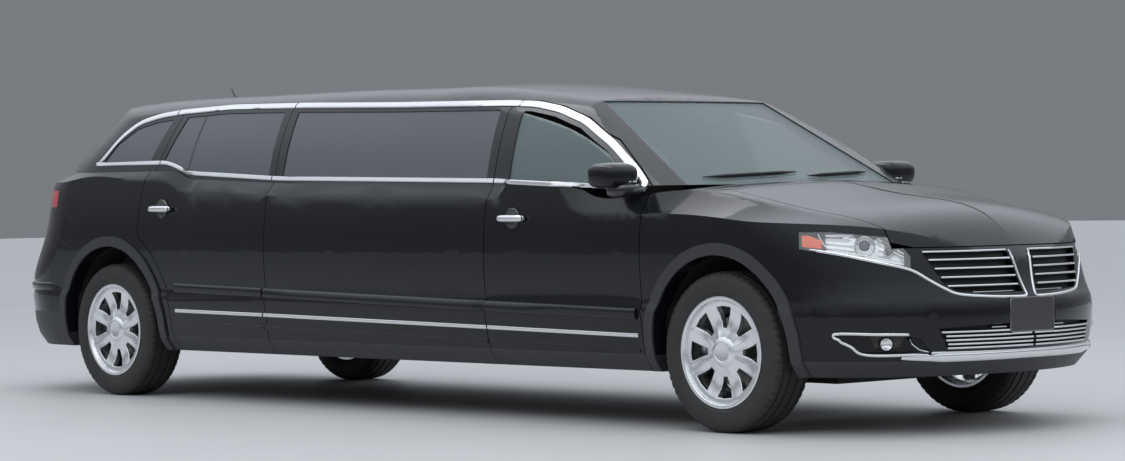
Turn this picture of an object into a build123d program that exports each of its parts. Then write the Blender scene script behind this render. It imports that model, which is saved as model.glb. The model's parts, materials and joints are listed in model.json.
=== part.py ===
"""Stretch limousine on a crossover body: panels, doors, wheels, underbody and saloon."""
import os
from math import asin, atan2, cos, pi, radians, sin, sqrt

from build123d import *

os.makedirs("parts", exist_ok=True)

# Driving dimensions, in millimetres: X forward, Y to the left, Z up from the ground
OVERALL_LENGTH = 7051.0
BODY_WIDTH = 1930.0
BODY_HEIGHT = 1680.0
WHEELBASE = 4773.0
FRONT_OVERHANG = 1060.0
TRACK_WIDTH = 1660.0
HALF_LENGTH = OVERALL_LENGTH / 2
HALF_WIDTH = BODY_WIDTH / 2
HALF_TRACK = TRACK_WIDTH / 2
FRONT_AXLE_X = HALF_LENGTH - FRONT_OVERHANG
REAR_AXLE_X = FRONT_AXLE_X - WHEELBASE

# Clearances and overruns
PANEL_GAP = 5.0
SEAT_GAP = 0.3
OVERRUN = 40.0
FAR = 4000.0

# Walls
SIDE_WALL = 80.0
CABIN_WALL = 45.0
HOOD_THICKNESS = 45.0
GLASS_THICKNESS = 8.0
GLASS_INSET = 5.0

# Side panels
DOOR_BEHIND_AXLE = 497.0
FRONT_DOOR_LENGTH = 1094.0
CENTRE_LENGTH = 1765.0
REAR_DOOR_LENGTH = 1143.0
DOOR_SLANT = 0.4
FRONT_DOOR_X = FRONT_AXLE_X - DOOR_BEHIND_AXLE
CENTRE_FRONT_X = FRONT_DOOR_X - FRONT_DOOR_LENGTH
CENTRE_REAR_X = CENTRE_FRONT_X - CENTRE_LENGTH
REAR_DOOR_X = CENTRE_REAR_X - REAR_DOOR_LENGTH

# Wheels and arches
TYRE_RADIUS = 368.0
TYRE_WIDTH = 235.0
RIM_RADIUS = 246.0
RIM_FLANGE = 10.0
RIM_WALL = 14.0
HUB_RADIUS = 78.0
FRONT_ARCH_RADIUS = 425.0
REAR_ARCH_RADIUS = 450.0
ARCH_LIFT = 18.0
FLARE_WIDTH = 55.0

# Plan outlines of the lower body, bottom to top:
# height, half width, nose set back and tail set back, as shares of height, half width and half length
SIDE_LEVEL_SHARES = [
    (0.158, 0.917, 0.027, 0.021),
    (0.196, 0.964, 0.009, 0.010),
    (0.239, 0.980, 0.002, 0.003),
    (0.326, 1.000, 0.000, 0.000),
    (0.352, 0.987, 0.002, 0.001),
    (0.452, 0.997, 0.020, 0.017),
    (0.548, 0.993, 0.036, 0.041),
    (0.646, 0.974, 0.068, 0.051),
    (0.744, 0.948, 0.111, 0.077),
]
STRAIGHT_LEVELS = 5
NOSE_RADIUS = 1250.0
NOSE_FACE_SHARE = 0.57
TAIL_RADIUS = 2000.0
TAIL_FACE_SHARE = 0.57

# Upper surface of the lower body, nose to tail:
# place along, crown height, edge half width, edge height, shoulder crease height
COVER_SHARES = [
    (1.010, 0.381, 0.663, 0.357, 0.321),
    (0.972, 0.485, 0.696, 0.438, 0.396),
    (0.927, 0.574, 0.715, 0.524, 0.485),
    (0.838, 0.626, 0.751, 0.586, 0.554),
    (0.719, 0.661, 0.819, 0.631, 0.585),
    (0.598, 0.680, 0.902, 0.657, 0.605),
    (0.425, 0.690, 0.920, 0.673, 0.625),
    (0.269, 0.704, 0.920, 0.686, 0.641),
    (-0.215, 0.714, 0.920, 0.696, 0.658),
    (-0.442, 0.732, 0.920, 0.714, 0.667),
    (-0.485, 0.749, 0.920, 0.731, 0.682),
    (-0.528, 0.768, 0.920, 0.751, 0.700),
    (-0.646, 0.769, 0.912, 0.751, 0.713),
    (-0.776, 0.763, 0.897, 0.745, 0.710),
    (-0.844, 0.744, 0.865, 0.723, 0.688),
    (-0.916, 0.723, 0.819, 0.696, 0.646),
    (-0.964, 0.690, 0.767, 0.655, 0.601),
    (-1.010, 0.631, 0.725, 0.589, 0.536),
]
COVER_BREAKS = (7, 9)
CREASE_HALF_WIDTH_SHARE = 0.972
COVER_REACH_SHARE = 1.19
COVER_FOOT_SHARE = 0.06
CROWN_BULGE_SHARE = 0.3

# Plan outlines of the greenhouse, belt to roof: height, half width, front and rear ends
CABIN_LEVEL_SHARES = [
    (0.673, 0.933, 0.620, -0.926),
    (0.762, 0.881, 0.539, -0.924),
    (0.857, 0.813, 0.453, -0.873),
    (0.952, 0.722, 0.367, -0.815),
    (1.024, 0.655, 0.301, -0.772),
]
WINDSHIELD_RADIUS = 2000.0
WINDSHIELD_FACE_SHARE = 0.93
BACKLIGHT_RADIUS = 1500.0
BACKLIGHT_FACE_SHARE = 0.36
RAKE_FRONT_SHARE = 2.0
RAKE_REAR_SHARE = 1.6

# Roof crown, front to rear: place along, crown height
ROOF_CROWN_SHARES = [
    (0.640, 0.800),
    (0.482, 0.872),
    (0.407, 0.923),
    (0.322, 0.955),
    (0.209, 0.981),
    (0.039, 0.995),
    (-0.245, 1.000),
    (-0.529, 0.999),
    (-0.727, 0.986),
    (-0.827, 0.964),
    (-0.936, 0.932),
]
RAIL_INNER_Y_SHARE = 0.549
RAIL_OUTER_Y_SHARE = 0.725
ROOF_CAMBER = 24.0
RAIL_DROP = 92.0
RAIL_TAIL = 160.0

# Side window surround: the roof-side line from the rear tip to the mirror as place along, height
# and half width of the body there, and the belt line as place along and height
WINDOW_TOP_SHARES = [
    (-0.732, 0.768, 0.877),
    (-0.713, 0.807, 0.852),
    (-0.690, 0.867, 0.804),
    (-0.652, 0.917, 0.756),
    (-0.604, 0.937, 0.737),
    (-0.544, 0.948, 0.715),
    (-0.425, 0.957, 0.696),
    (-0.267, 0.952, 0.709),
    (-0.018, 0.939, 0.731),
    (0.230, 0.930, 0.705),
    (0.280, 0.924, 0.694),
    (0.331, 0.906, 0.705),
    (0.392, 0.869, 0.738),
    (0.459, 0.803, 0.793),
    (0.521, 0.724, 0.864),
    (0.557, 0.670, 0.917),
]
BELT_SHARES = [
    (-0.713, 0.767),
    (-0.545, 0.767),
    (-0.512, 0.753),
    (-0.478, 0.731),
    (-0.246, 0.707),
    (0.046, 0.696),
    (0.251, 0.688),
    (0.418, 0.672),
    (0.570, 0.655),
]


def end_outline(end_x, half_width, face_radius, face_share, way):
    """Points of one end of a plan outline: tip, face end, corner middle and start of the side."""
    face_y = face_share * half_width
    turn = asin(face_y / face_radius)
    face_x = end_x - way * (face_radius - face_radius * cos(turn))
    corner = (half_width - face_y) / (1 - sin(turn))
    side_x = face_x - way * corner * cos(turn)
    middle = (pi / 2 + turn) / 2
    middle_x = side_x + way * corner * cos(middle)
    middle_y = half_width - corner + corner * sin(middle)
    return (end_x, 0), (face_x, face_y), (middle_x, middle_y), (side_x, half_width)


def flip(point):
    """The same point on the other side of the centre line."""
    return point[0], -point[1]


def plan_outline(half_width, front, rear):
    """Closed plan outline of arcs and lines; front and rear are end x, radius and face share."""
    tip, face, middle, side = end_outline(front[0], half_width, front[1], front[2], 1)
    rear_tip, rear_face, rear_middle, rear_side = end_outline(rear[0], half_width, rear[1], rear[2], -1)
    with BuildLine() as outline:
        ThreePointArc(flip(face), tip, face)
        ThreePointArc(face, middle, side)
        Line(side, rear_side)
        ThreePointArc(rear_side, rear_middle, rear_face)
        ThreePointArc(rear_face, rear_tip, flip(rear_face))
        ThreePointArc(flip(rear_face), flip(rear_middle), flip(rear_side))
        Line(flip(rear_side), flip(side))
        ThreePointArc(flip(side), flip(middle), flip(face))
    return outline.line


def section_plane(x):
    """Plane across the car at x, with local x to the left and local y up."""
    return Plane((x, 0, 0), x_dir=(0, 1, 0), z_dir=(1, 0, 0))


def side_form(inset, drop=0.0):
    """Lower body seen in plan: sill, cladding and door sides, moved in by inset."""
    with BuildPart() as form:
        for ruled in (True, False):
            levels = SIDE_LEVEL_SHARES[:STRAIGHT_LEVELS] if ruled else SIDE_LEVEL_SHARES[STRAIGHT_LEVELS - 1:]
            for level, (height, width, nose, tail) in enumerate(levels):
                z = height * BODY_HEIGHT - (drop if ruled and level == 0 else 0.0)
                front_x = HALF_LENGTH - nose * HALF_LENGTH - inset
                rear_x = tail * HALF_LENGTH - HALF_LENGTH + inset
                with BuildSketch(Plane.XY.offset(z)):
                    add(plan_outline(width * HALF_WIDTH - inset, (front_x, NOSE_RADIUS, NOSE_FACE_SHARE),
                                     (rear_x, TAIL_RADIUS, TAIL_FACE_SHARE)))
                    make_face()
            loft(ruled=ruled)
    return form.part


def cover_form(inset):
    """Space under the hood, fender tops, shoulder and tail, moved down by inset."""
    crease_y = CREASE_HALF_WIDTH_SHARE * HALF_WIDTH
    reach_y = COVER_REACH_SHARE * HALF_WIDTH
    foot_z = COVER_FOOT_SHARE * BODY_HEIGHT
    first, second = COVER_BREAKS
    runs = ((COVER_SHARES[:first + 1], False), (COVER_SHARES[first:second + 1], True), (COVER_SHARES[second:], False))
    with BuildPart() as form:
        for rows, ruled in runs:
            for along, crown, edge, edge_height, crease_height in rows:
                edge_y = edge * HALF_WIDTH
                edge_z = edge_height * BODY_HEIGHT - inset
                crown_z = crown * BODY_HEIGHT - inset
                fall = (edge_height - crease_height) * BODY_HEIGHT / (crease_y - edge_y)
                reach_z = crease_height * BODY_HEIGHT - inset - fall * (reach_y - crease_y)
                bulge_z = crown_z - CROWN_BULGE_SHARE * (crown_z - edge_z)
                with BuildSketch(section_plane(along * HALF_LENGTH)):
                    with BuildLine():
                        ThreePointArc((0, crown_z), (edge_y / 2, bulge_z), (edge_y, edge_z))
                        Polyline((edge_y, edge_z), (reach_y, reach_z), (reach_y, foot_z),
                                 (-reach_y, foot_z), (-reach_y, reach_z), (-edge_y, edge_z))
                        ThreePointArc((-edge_y, edge_z), (-edge_y / 2, bulge_z), (0, crown_z))
                    make_face()
            loft(ruled=ruled)
    return form.part


def cabin_form(inset, drop=0.0):
    """Greenhouse seen in plan, from below the belt to the roof, moved in by inset."""
    with BuildPart() as form:
        for level, (height, width, front, rear) in enumerate(CABIN_LEVEL_SHARES):
            z = height * BODY_HEIGHT
            front_x = front * HALF_LENGTH - inset * RAKE_FRONT_SHARE
            rear_x = rear * HALF_LENGTH + inset * RAKE_REAR_SHARE
            with BuildSketch(Plane.XY.offset(z)):
                add(plan_outline(width * HALF_WIDTH - inset, (front_x, WINDSHIELD_RADIUS, WINDSHIELD_FACE_SHARE),
                                 (rear_x, BACKLIGHT_RADIUS, BACKLIGHT_FACE_SHARE)))
                make_face()
        loft()
        if drop:
            extrude(form.faces().sort_by(Axis.Z)[0], amount=drop)
    return form.part


def roof_form(inset):
    """Space under the roof skin, with its rounded side rails, moved down by inset."""
    rail_in = RAIL_INNER_Y_SHARE * HALF_WIDTH
    rail_out = RAIL_OUTER_Y_SHARE * HALF_WIDTH
    foot_z = COVER_FOOT_SHARE * BODY_HEIGHT
    with BuildPart() as form:
        for along, crown in ROOF_CROWN_SHARES:
            crown_z = crown * BODY_HEIGHT - inset
            camber_z = crown_z - ROOF_CAMBER
            rail_z = crown_z - RAIL_DROP
            with BuildSketch(section_plane(along * HALF_LENGTH)):
                with BuildLine():
                    top = ThreePointArc((-rail_in, camber_z), (0, crown_z), (rail_in, camber_z))
                    rail = TangentArc((rail_in, camber_z), (rail_out, rail_z), tangent=top % 1)
                    fall = rail % 1
                    foot_y = rail_out + RAIL_TAIL * fall.X / -fall.Y
                    Polyline((rail_out, rail_z), (foot_y, rail_z - RAIL_TAIL), (foot_y, foot_z),
                             (-foot_y, foot_z), (-foot_y, rail_z - RAIL_TAIL), (-rail_out, rail_z))
                    mirror(rail, about=Plane.YZ)
                make_face()
        loft()
    return form.part


def largest(part):
    """The main solid of a piece, without the shavings of its cuts."""
    return part.solids().sort_by(SortBy.VOLUME)[-1]


def export(part, name):
    """Label a finished piece and write it."""
    part.label = name
    export_step(part, f"parts/{name}.step")


def export_pair(part, name):
    """Write the right-hand piece and its mirror image."""
    export(part, f"right_{name}")
    export(mirror(part, about=Plane.XZ), f"left_{name}")


def level_at(line_shares, x, column=1):
    """Share in one column of a window line at x, between its points."""
    for rear, front in zip(line_shares, line_shares[1:]):
        if x <= front[0] * HALF_LENGTH:
            share = (x / HALF_LENGTH - rear[0]) / (front[0] - rear[0])
            return rear[column] + share * (front[column] - rear[column])
    return line_shares[-1][column]


def height_at(line_shares, x):
    """Height of a window line at x, in the side view."""
    return level_at(line_shares, x) * BODY_HEIGHT


def top_point(x):
    """Point of the window top line at x, with the body's half width there."""
    return x, height_at(WINDOW_TOP_SHARES, x), level_at(WINDOW_TOP_SHARES, x, 2) * HALF_WIDTH


def top_points(low_x, high_x):
    """Points of the window top line from one place back to another, ends included."""
    between = [row[0] * HALF_LENGTH for row in reversed(WINDOW_TOP_SHARES) if low_x < row[0] * HALF_LENGTH < high_x]
    return [top_point(x) for x in (high_x, *between, low_x)]


def line_between(line_shares, low_x, high_x, rise=0.0):
    """Points of a window line that lie between two places, raised by rise."""
    return [(row[0] * HALF_LENGTH, row[1] * BODY_HEIGHT + rise) for row in line_shares
            if low_x < row[0] * HALF_LENGTH < high_x]


# How far in the side surface lies at each height: height, depth, as shares of height and half width
SIDE_DEPTH_SHARES = [(0.0, 0.0), (0.645, 0.015), (0.690, 0.080), (0.762, 0.119), (0.857, 0.187), (1.1, 0.340)]


SIDE_REACH = 120.0
PRISM_DEPTH = 520.0
SKETCH_Y = -HALF_WIDTH - SIDE_REACH
SIDE_PLANE = Plane((0, SKETCH_Y, 0), x_dir=(1, 0, 0), z_dir=(0, -1, 0))
SLANT_IN = Vector(DOOR_SLANT, 1, 0)
SLANT_LENGTH = PRISM_DEPTH * sqrt(1 + DOOR_SLANT * DOOR_SLANT)


def side_depth(z):
    """How far in the side surface lies at a height."""
    for (low, low_depth), (high, high_depth) in zip(SIDE_DEPTH_SHARES, SIDE_DEPTH_SHARES[1:]):
        if z / BODY_HEIGHT <= high:
            share = (z / BODY_HEIGHT - low) / (high - low)
            return (low_depth + share * (high_depth - low_depth)) * HALF_WIDTH
    raise ValueError("point above the roof")


def seen(x, z, half_width=None):
    """Where the slanted cut that shows at x, z on the side surface crosses the sketch plane."""
    depth = side_depth(z) if half_width is None else HALF_WIDTH - half_width
    return x - DOOR_SLANT * (SIDE_REACH + depth), z


def slanted_prism(outline, grow=0.0):
    """Prism of a side outline, slanted so that a door hinged at its front edge swings clear."""
    with BuildPart() as prism:
        with BuildSketch(SIDE_PLANE):
            Polygon(*[seen(*point) for point in outline], align=None)
            if grow:
                offset(amount=grow, kind=Kind.INTERSECTION)
        extrude(amount=SLANT_LENGTH, dir=SLANT_IN)
    return prism.part


def straight_prism(outline, side=-1, grow=0.0):
    """Prism of a side outline straight through one side of the car, or both with side 0."""
    with BuildPart() as prism:
        with BuildSketch(Plane.XZ):
            Polygon(*[(x, z) for x, z, *_ in outline], align=None)
            if grow:
                offset(amount=grow, kind=Kind.INTERSECTION)
        extrude(amount=-side * FAR if side else FAR, both=side == 0)
    return prism.part


def door_prism(outline, grow=0.0):
    """Space of a door: square to the side at its hinge edge and slanted at its free edge."""
    return slanted_prism(outline, grow) & straight_prism(outline, -1, grow)


def front_prism(outline, low_x, high_x):
    """Prism of a front-view outline, a half outline mirrored, between two places along the car."""
    with BuildPart() as prism:
        with BuildSketch(section_plane(low_x)):
            Polygon(*outline, *[flip_side(point) for point in reversed(outline)], align=None)
        extrude(amount=high_x - low_x)
    return prism.part


def flip_side(point):
    """Mirror a front-view point across the centre line."""
    return -point[0], point[1]


def plan_prism(outline, low_z, high_z):
    """Prism of a plan outline, a half outline mirrored, between two heights."""
    with BuildPart() as prism:
        with BuildSketch(Plane.XY.offset(low_z)):
            Polygon(*outline, *[flip(point) for point in reversed(outline)], align=None)
        extrude(amount=high_z - low_z)
    return prism.part


# Body shell
CABIN_DROP = 200.0
LOWER_BODY = side_form(0) & cover_form(0)
GREENHOUSE = cabin_form(0) & roof_form(0)
LOWER_SPACE = side_form(SIDE_WALL, OVERRUN) & cover_form(SIDE_WALL)
UPPER_SPACE = cabin_form(CABIN_WALL, CABIN_DROP) & roof_form(CABIN_WALL)
SHELL = (LOWER_BODY + GREENHOUSE) - (LOWER_SPACE + UPPER_SPACE)
GLASS_LAYER = (cabin_form(GLASS_INSET) & roof_form(GLASS_INSET)) - cabin_form(GLASS_INSET + GLASS_THICKNESS)

# Door and window outlines in the side view
SILL_BOTTOM = SIDE_LEVEL_SHARES[0][0] * BODY_HEIGHT
DOOR_FOOT_Z = SILL_BOTTOM - OVERRUN
DOOR_LEAN = -40.0
PILLAR_FOOT_Z = 0.655 * BODY_HEIGHT
REAR_DOOR_TOP_BACK = 1010.0
REAR_DOOR_BELT_BACK = 1090.0
REAR_DOOR_KICK = 285.0
DOOR_ARCH_LAND = 70.0
DOOR_ARCH_FOOT = 0.25
BELT_TRIM = 20.0
WINDOW_SURROUND = 48.0
ARCH_Z = TYRE_RADIUS + ARCH_LIFT
FRONT_PILLAR_COVER = 107.0
CENTRE_PILLAR_COVER = 60.0
REAR_PILLAR_COVER = 42.0
QUARTER_TIP_BACK = 1620.0
MIRROR_CORNER_X = FRONT_DOOR_X - 100.0
QUARTER_TIP_X = CENTRE_REAR_X - QUARTER_TIP_BACK
REAR_DOOR_TOP_X = CENTRE_REAR_X - REAR_DOOR_TOP_BACK
REAR_DOOR_BELT_X = CENTRE_REAR_X - REAR_DOOR_BELT_BACK
DOOR_ARCH_RADIUS = REAR_ARCH_RADIUS + FLARE_WIDTH + DOOR_ARCH_LAND


def arch_points(radius, low_angle, high_angle, steps=6):
    """Points round the rear wheel arch between two angles above level."""
    angles = [low_angle + step * (high_angle - low_angle) / steps for step in range(steps + 1)]
    return [(REAR_AXLE_X + radius * cos(angle), ARCH_Z + radius * sin(angle)) for angle in angles]


front_top_x = CENTRE_FRONT_X + DOOR_LEAN
rear_top_x = CENTRE_REAR_X + DOOR_LEAN
belt_front_z = height_at(BELT_SHARES, CENTRE_FRONT_X)
belt_rear_z = height_at(BELT_SHARES, CENTRE_REAR_X)
belt_back_z = height_at(BELT_SHARES, REAR_DOOR_BELT_X)
SHOULDER_Z = SIDE_DEPTH_SHARES[1][0] * BODY_HEIGHT
FRONT_DOOR_OUTLINE = [
    (CENTRE_FRONT_X, SHOULDER_Z), (CENTRE_FRONT_X, DOOR_FOOT_Z), (FRONT_DOOR_X, DOOR_FOOT_Z),
    (FRONT_DOOR_X, SHOULDER_Z), (FRONT_DOOR_X, PILLAR_FOOT_Z),
    *top_points(front_top_x, WINDOW_TOP_SHARES[-1][0] * HALF_LENGTH), (CENTRE_FRONT_X, belt_front_z),
]
arch_rise = sqrt(DOOR_ARCH_RADIUS ** 2 - (REAR_DOOR_X - REAR_AXLE_X) ** 2)
arch_high = atan2(arch_rise, REAR_DOOR_X - REAR_AXLE_X)
REAR_DOOR_OUTLINE = [
    (REAR_DOOR_X + REAR_DOOR_KICK, DOOR_FOOT_Z), (CENTRE_REAR_X, DOOR_FOOT_Z),
    (CENTRE_REAR_X, SHOULDER_Z), (CENTRE_REAR_X, belt_rear_z),
    *top_points(REAR_DOOR_TOP_X, rear_top_x), (REAR_DOOR_BELT_X, belt_back_z),
    (REAR_DOOR_X, SHOULDER_Z), *reversed(arch_points(DOOR_ARCH_RADIUS, DOOR_ARCH_FOOT, arch_high)),
]


def window_outline(rear_low, rear_high, front_high, front_low):
    """Outline of a side window between its leaning ends."""
    top = line_between(WINDOW_TOP_SHARES, rear_high, front_high, -WINDOW_SURROUND)
    return [
        (rear_low, height_at(BELT_SHARES, rear_low) + BELT_TRIM),
        *line_between(BELT_SHARES, rear_low, front_low, BELT_TRIM),
        (front_low, height_at(BELT_SHARES, front_low) + BELT_TRIM),
        (front_high, height_at(WINDOW_TOP_SHARES, front_high) - WINDOW_SURROUND),
        *reversed(top),
        (rear_high, height_at(WINDOW_TOP_SHARES, rear_high) - WINDOW_SURROUND),
    ]


FRONT_WINDOW = window_outline(CENTRE_FRONT_X + FRONT_PILLAR_COVER, front_top_x + FRONT_PILLAR_COVER,
                              MIRROR_CORNER_X - BELT_TRIM, MIRROR_CORNER_X)
CENTRE_WINDOW = window_outline(CENTRE_REAR_X + CENTRE_PILLAR_COVER, rear_top_x + CENTRE_PILLAR_COVER,
                               front_top_x - CENTRE_PILLAR_COVER, CENTRE_FRONT_X - CENTRE_PILLAR_COVER)
REAR_WINDOW = window_outline(REAR_DOOR_BELT_X + REAR_PILLAR_COVER, REAR_DOOR_TOP_X + REAR_PILLAR_COVER,
                             rear_top_x - CENTRE_PILLAR_COVER, CENTRE_REAR_X - CENTRE_PILLAR_COVER)
QUARTER_WINDOW = window_outline(QUARTER_TIP_X, QUARTER_TIP_X + BELT_TRIM,
                                REAR_DOOR_TOP_X - 2 * REAR_PILLAR_COVER, REAR_DOOR_BELT_X - 2 * REAR_PILLAR_COVER)

# Hood, cowl, liftgate, windshield and their outlines
HOOD_REAR_X = 2240.0
COWL_CURVE = 130.0
HOOD_REAR_HALF = 740.0
HOOD_MIDDLE_X = 2900.0
HOOD_MIDDLE_HALF = 700.0
HOOD_FRONT_X = 3270.0
HOOD_FRONT_HALF = 640.0
HOOD_NOSE_Z = 840.0
COWL_FRONT_X = 1650.0
COWL_LOW_Z = 900.0
GATE_TOP_X = -2800.0
GATE_FOOT_Z = 640.0
GATE_HALF_WIDTHS = [(GATE_FOOT_Z, 640.0), (1000.0, 690.0), (1230.0, 672.0), (1420.0, 652.0), (1560.0, 625.0),
                    (BODY_HEIGHT + OVERRUN, 600.0)]
GATE_GAP = 9.0
WINDSHIELD_HALF_WIDTHS = [(1131.0, 725.0), (1545.0, 560.0)]
BACKLIGHT_HALF_WIDTHS = [(1235.0, 600.0), (1540.0, 520.0)]
ROOF_SEAM_Z = 1131.0
QUARTER_SEAM_Z = WINDOW_TOP_SHARES[0][1] * BODY_HEIGHT
BUMPER_SEAM_X = 2880.0
BUMPER_CORNER_X = 2965.0
BUMPER_STEP_Z = 620.0
BUMPER_TOP_Z = 860.0
REAR_BUMPER_X = -2800.0
REAR_BUMPER_Z = 640.0


def hood_outline(grow=0.0):
    """Half plan outline of the hood, from the centre of its rear edge to its nose."""
    return [
        (HOOD_REAR_X - grow, 0), (HOOD_REAR_X - COWL_CURVE / 4 - grow, HOOD_REAR_HALF / 2),
        (HOOD_REAR_X - COWL_CURVE - grow, HOOD_REAR_HALF + grow), (HOOD_MIDDLE_X, HOOD_MIDDLE_HALF + grow),
        (HOOD_FRONT_X, HOOD_FRONT_HALF + grow), (HALF_LENGTH + OVERRUN, HOOD_FRONT_HALF + grow),
    ]


def upright(half_widths, grow=0.0):
    """Half front-view outline from heights and half widths, grown all round."""
    last = len(half_widths) - 1
    ends = {0: -grow, last: grow}
    return [(half + grow, z + ends.get(place, 0.0)) for place, (z, half) in enumerate(half_widths)]


top_z = BODY_HEIGHT + OVERRUN
FRONT_DOOR_PRISM = door_prism(FRONT_DOOR_OUTLINE)
REAR_DOOR_PRISM = door_prism(REAR_DOOR_OUTLINE)
door_cutters = door_prism(FRONT_DOOR_OUTLINE, PANEL_GAP) + door_prism(REAR_DOOR_OUTLINE, PANEL_GAP)
door_cutters += mirror(door_cutters, about=Plane.XZ)
hood_cutter = plan_prism(hood_outline(PANEL_GAP), HOOD_NOSE_Z - PANEL_GAP, top_z)
gate_cutter = front_prism(upright(GATE_HALF_WIDTHS, GATE_GAP), -HALF_LENGTH - OVERRUN, GATE_TOP_X + PANEL_GAP)
windshield_prism = front_prism(upright(WINDSHIELD_HALF_WIDTHS), FRONT_DOOR_X - 1100.0, HALF_LENGTH)
with BuildPart() as arch_cutter:
    for axle_x, radius in ((FRONT_AXLE_X, FRONT_ARCH_RADIUS), (REAR_AXLE_X, REAR_ARCH_RADIUS)):
        with BuildSketch(Plane.XZ):
            with Locations((axle_x, ARCH_Z)):
                Circle(radius)
            with Locations((axle_x, ARCH_Z - radius)):
                Rectangle(2 * radius, 2 * radius)
        extrude(amount=BODY_WIDTH, both=True)
BODY_SIDE = SHELL - door_cutters - hood_cutter - gate_cutter - windshield_prism - arch_cutter.part
BODY_SIDE -= straight_prism(QUARTER_WINDOW, 0)
BODY_SIDE -= straight_prism(CENTRE_WINDOW, 0)

# Regions of the fixed panels in the side view
roof_line = line_between(WINDOW_TOP_SHARES, -HALF_LENGTH, FRONT_DOOR_X)
ROOF_REGION = [(HALF_LENGTH, ROOF_SEAM_Z), (HALF_LENGTH, top_z), (-HALF_LENGTH, top_z),
               (-HALF_LENGTH, QUARTER_SEAM_Z), *roof_line[:-1], (roof_line[-1][0], ROOF_SEAM_Z)]
middle_rear_x = (CENTRE_REAR_X + REAR_DOOR_X) / 2
middle_front_x = (CENTRE_FRONT_X + FRONT_DOOR_X) / 2
CENTRE_REGION = [(middle_rear_x, 0), (middle_front_x, 0),
                 (middle_front_x, height_at(WINDOW_TOP_SHARES, middle_front_x)),
                 *reversed(line_between(WINDOW_TOP_SHARES, middle_rear_x, middle_front_x)),
                 (middle_rear_x, height_at(WINDOW_TOP_SHARES, middle_rear_x))]
QUARTER_REGION = [(middle_rear_x, 0), (middle_rear_x, height_at(WINDOW_TOP_SHARES, middle_rear_x)),
                  *reversed(line_between(WINDOW_TOP_SHARES, -HALF_LENGTH, middle_rear_x)),
                  (-HALF_LENGTH - OVERRUN, QUARTER_SEAM_Z), (-HALF_LENGTH - OVERRUN, REAR_BUMPER_Z),
                  (REAR_BUMPER_X, REAR_BUMPER_Z), (REAR_BUMPER_X, 0)]
REAR_BUMPER_REGION = [(-HALF_LENGTH - OVERRUN, 0), (REAR_BUMPER_X, 0), (REAR_BUMPER_X, REAR_BUMPER_Z),
                      (-HALF_LENGTH - OVERRUN, REAR_BUMPER_Z)]
FRONT_BUMPER_REGION = [(BUMPER_SEAM_X, 0), (HALF_LENGTH + OVERRUN, 0), (HALF_LENGTH + OVERRUN, BUMPER_TOP_Z),
                       (BUMPER_CORNER_X, BUMPER_TOP_Z), (BUMPER_SEAM_X, BUMPER_STEP_Z)]
FENDER_REGION = [(middle_front_x, 0), (BUMPER_SEAM_X, 0), (BUMPER_SEAM_X, BUMPER_STEP_Z),
                 (BUMPER_CORNER_X, BUMPER_TOP_Z), (HALF_LENGTH, BUMPER_TOP_Z), (HALF_LENGTH, ROOF_SEAM_Z),
                 (middle_front_x, ROOF_SEAM_Z)]
COWL_PLAN = [(HOOD_REAR_X, 0), (HOOD_REAR_X, HOOD_REAR_HALF), (COWL_FRONT_X, HOOD_REAR_HALF), (COWL_FRONT_X, 0)]

# Hinge leaves, brackets and lamps
LEAF_DEPTH_SHARES = (0.91, 0.955)
LEAF_LENGTH = 60.0
LEAF_HEIGHT = 70.0
LEAF_HEIGHTS = (480.0, 900.0)
BRACKET_LENGTH = 90.0
BRACKET_HEIGHT = 70.0
SILL_HALF_WIDTH = 790.0
SILL_WIDTH = 110.0
SILL_Z = 285.0
SILL_HEIGHT = 130.0
FLOOR_THICKNESS = 20.0
FLOOR_Z = SILL_Z + SILL_HEIGHT / 2


def block(low, high):
    """Block between two opposite corners."""
    size = [b - a for a, b in zip(low, high)]
    with BuildPart() as solid:
        with Locations(low):
            Box(*size, align=(Align.MIN, Align.MIN, Align.MIN))
    return solid.part


def bracket(x, z=SILL_Z, inner=SILL_HALF_WIDTH, side=-1):
    """Bracket that joins the inside of a right-hand panel to a sill or rail."""
    outer = (SIDE_LEVEL_SHARES[1][1]) * HALF_WIDTH - OVERRUN
    return block((x, -outer, z), (x + BRACKET_LENGTH, -inner, z + BRACKET_HEIGHT))


def door_leaves(front_x):
    """Hinge leaves that reach from a door's front edge to its pillar, out of sight in the gap."""
    low_share, high_share = LEAF_DEPTH_SHARES
    leaves = None
    for z in LEAF_HEIGHTS:
        outline = [(front_x - LEAF_LENGTH, z), (front_x + PANEL_GAP - SEAT_GAP, z),
                   (front_x + PANEL_GAP - SEAT_GAP, z + LEAF_HEIGHT), (front_x - LEAF_LENGTH, z + LEAF_HEIGHT)]
        depth = block((-FAR, -high_share * HALF_WIDTH, z), (FAR, -low_share * HALF_WIDTH, z + LEAF_HEIGHT))
        leaf = straight_prism(outline) & depth
        leaves = leaf if leaves is None else leaves + leaf
    return leaves


# Door handles
HANDLE_LENGTH = 190.0
HANDLE_HEIGHT = 26.0
HANDLE_DEPTH = 18.0
HANDLE_STAND = 22.0
HANDLE_POST = 24.0
HANDLE_Z_SHARES = (0.584, 0.620)
FRONT_HANDLE_BACK = 112.0
REAR_HANDLE_BACK = 72.0


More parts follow.
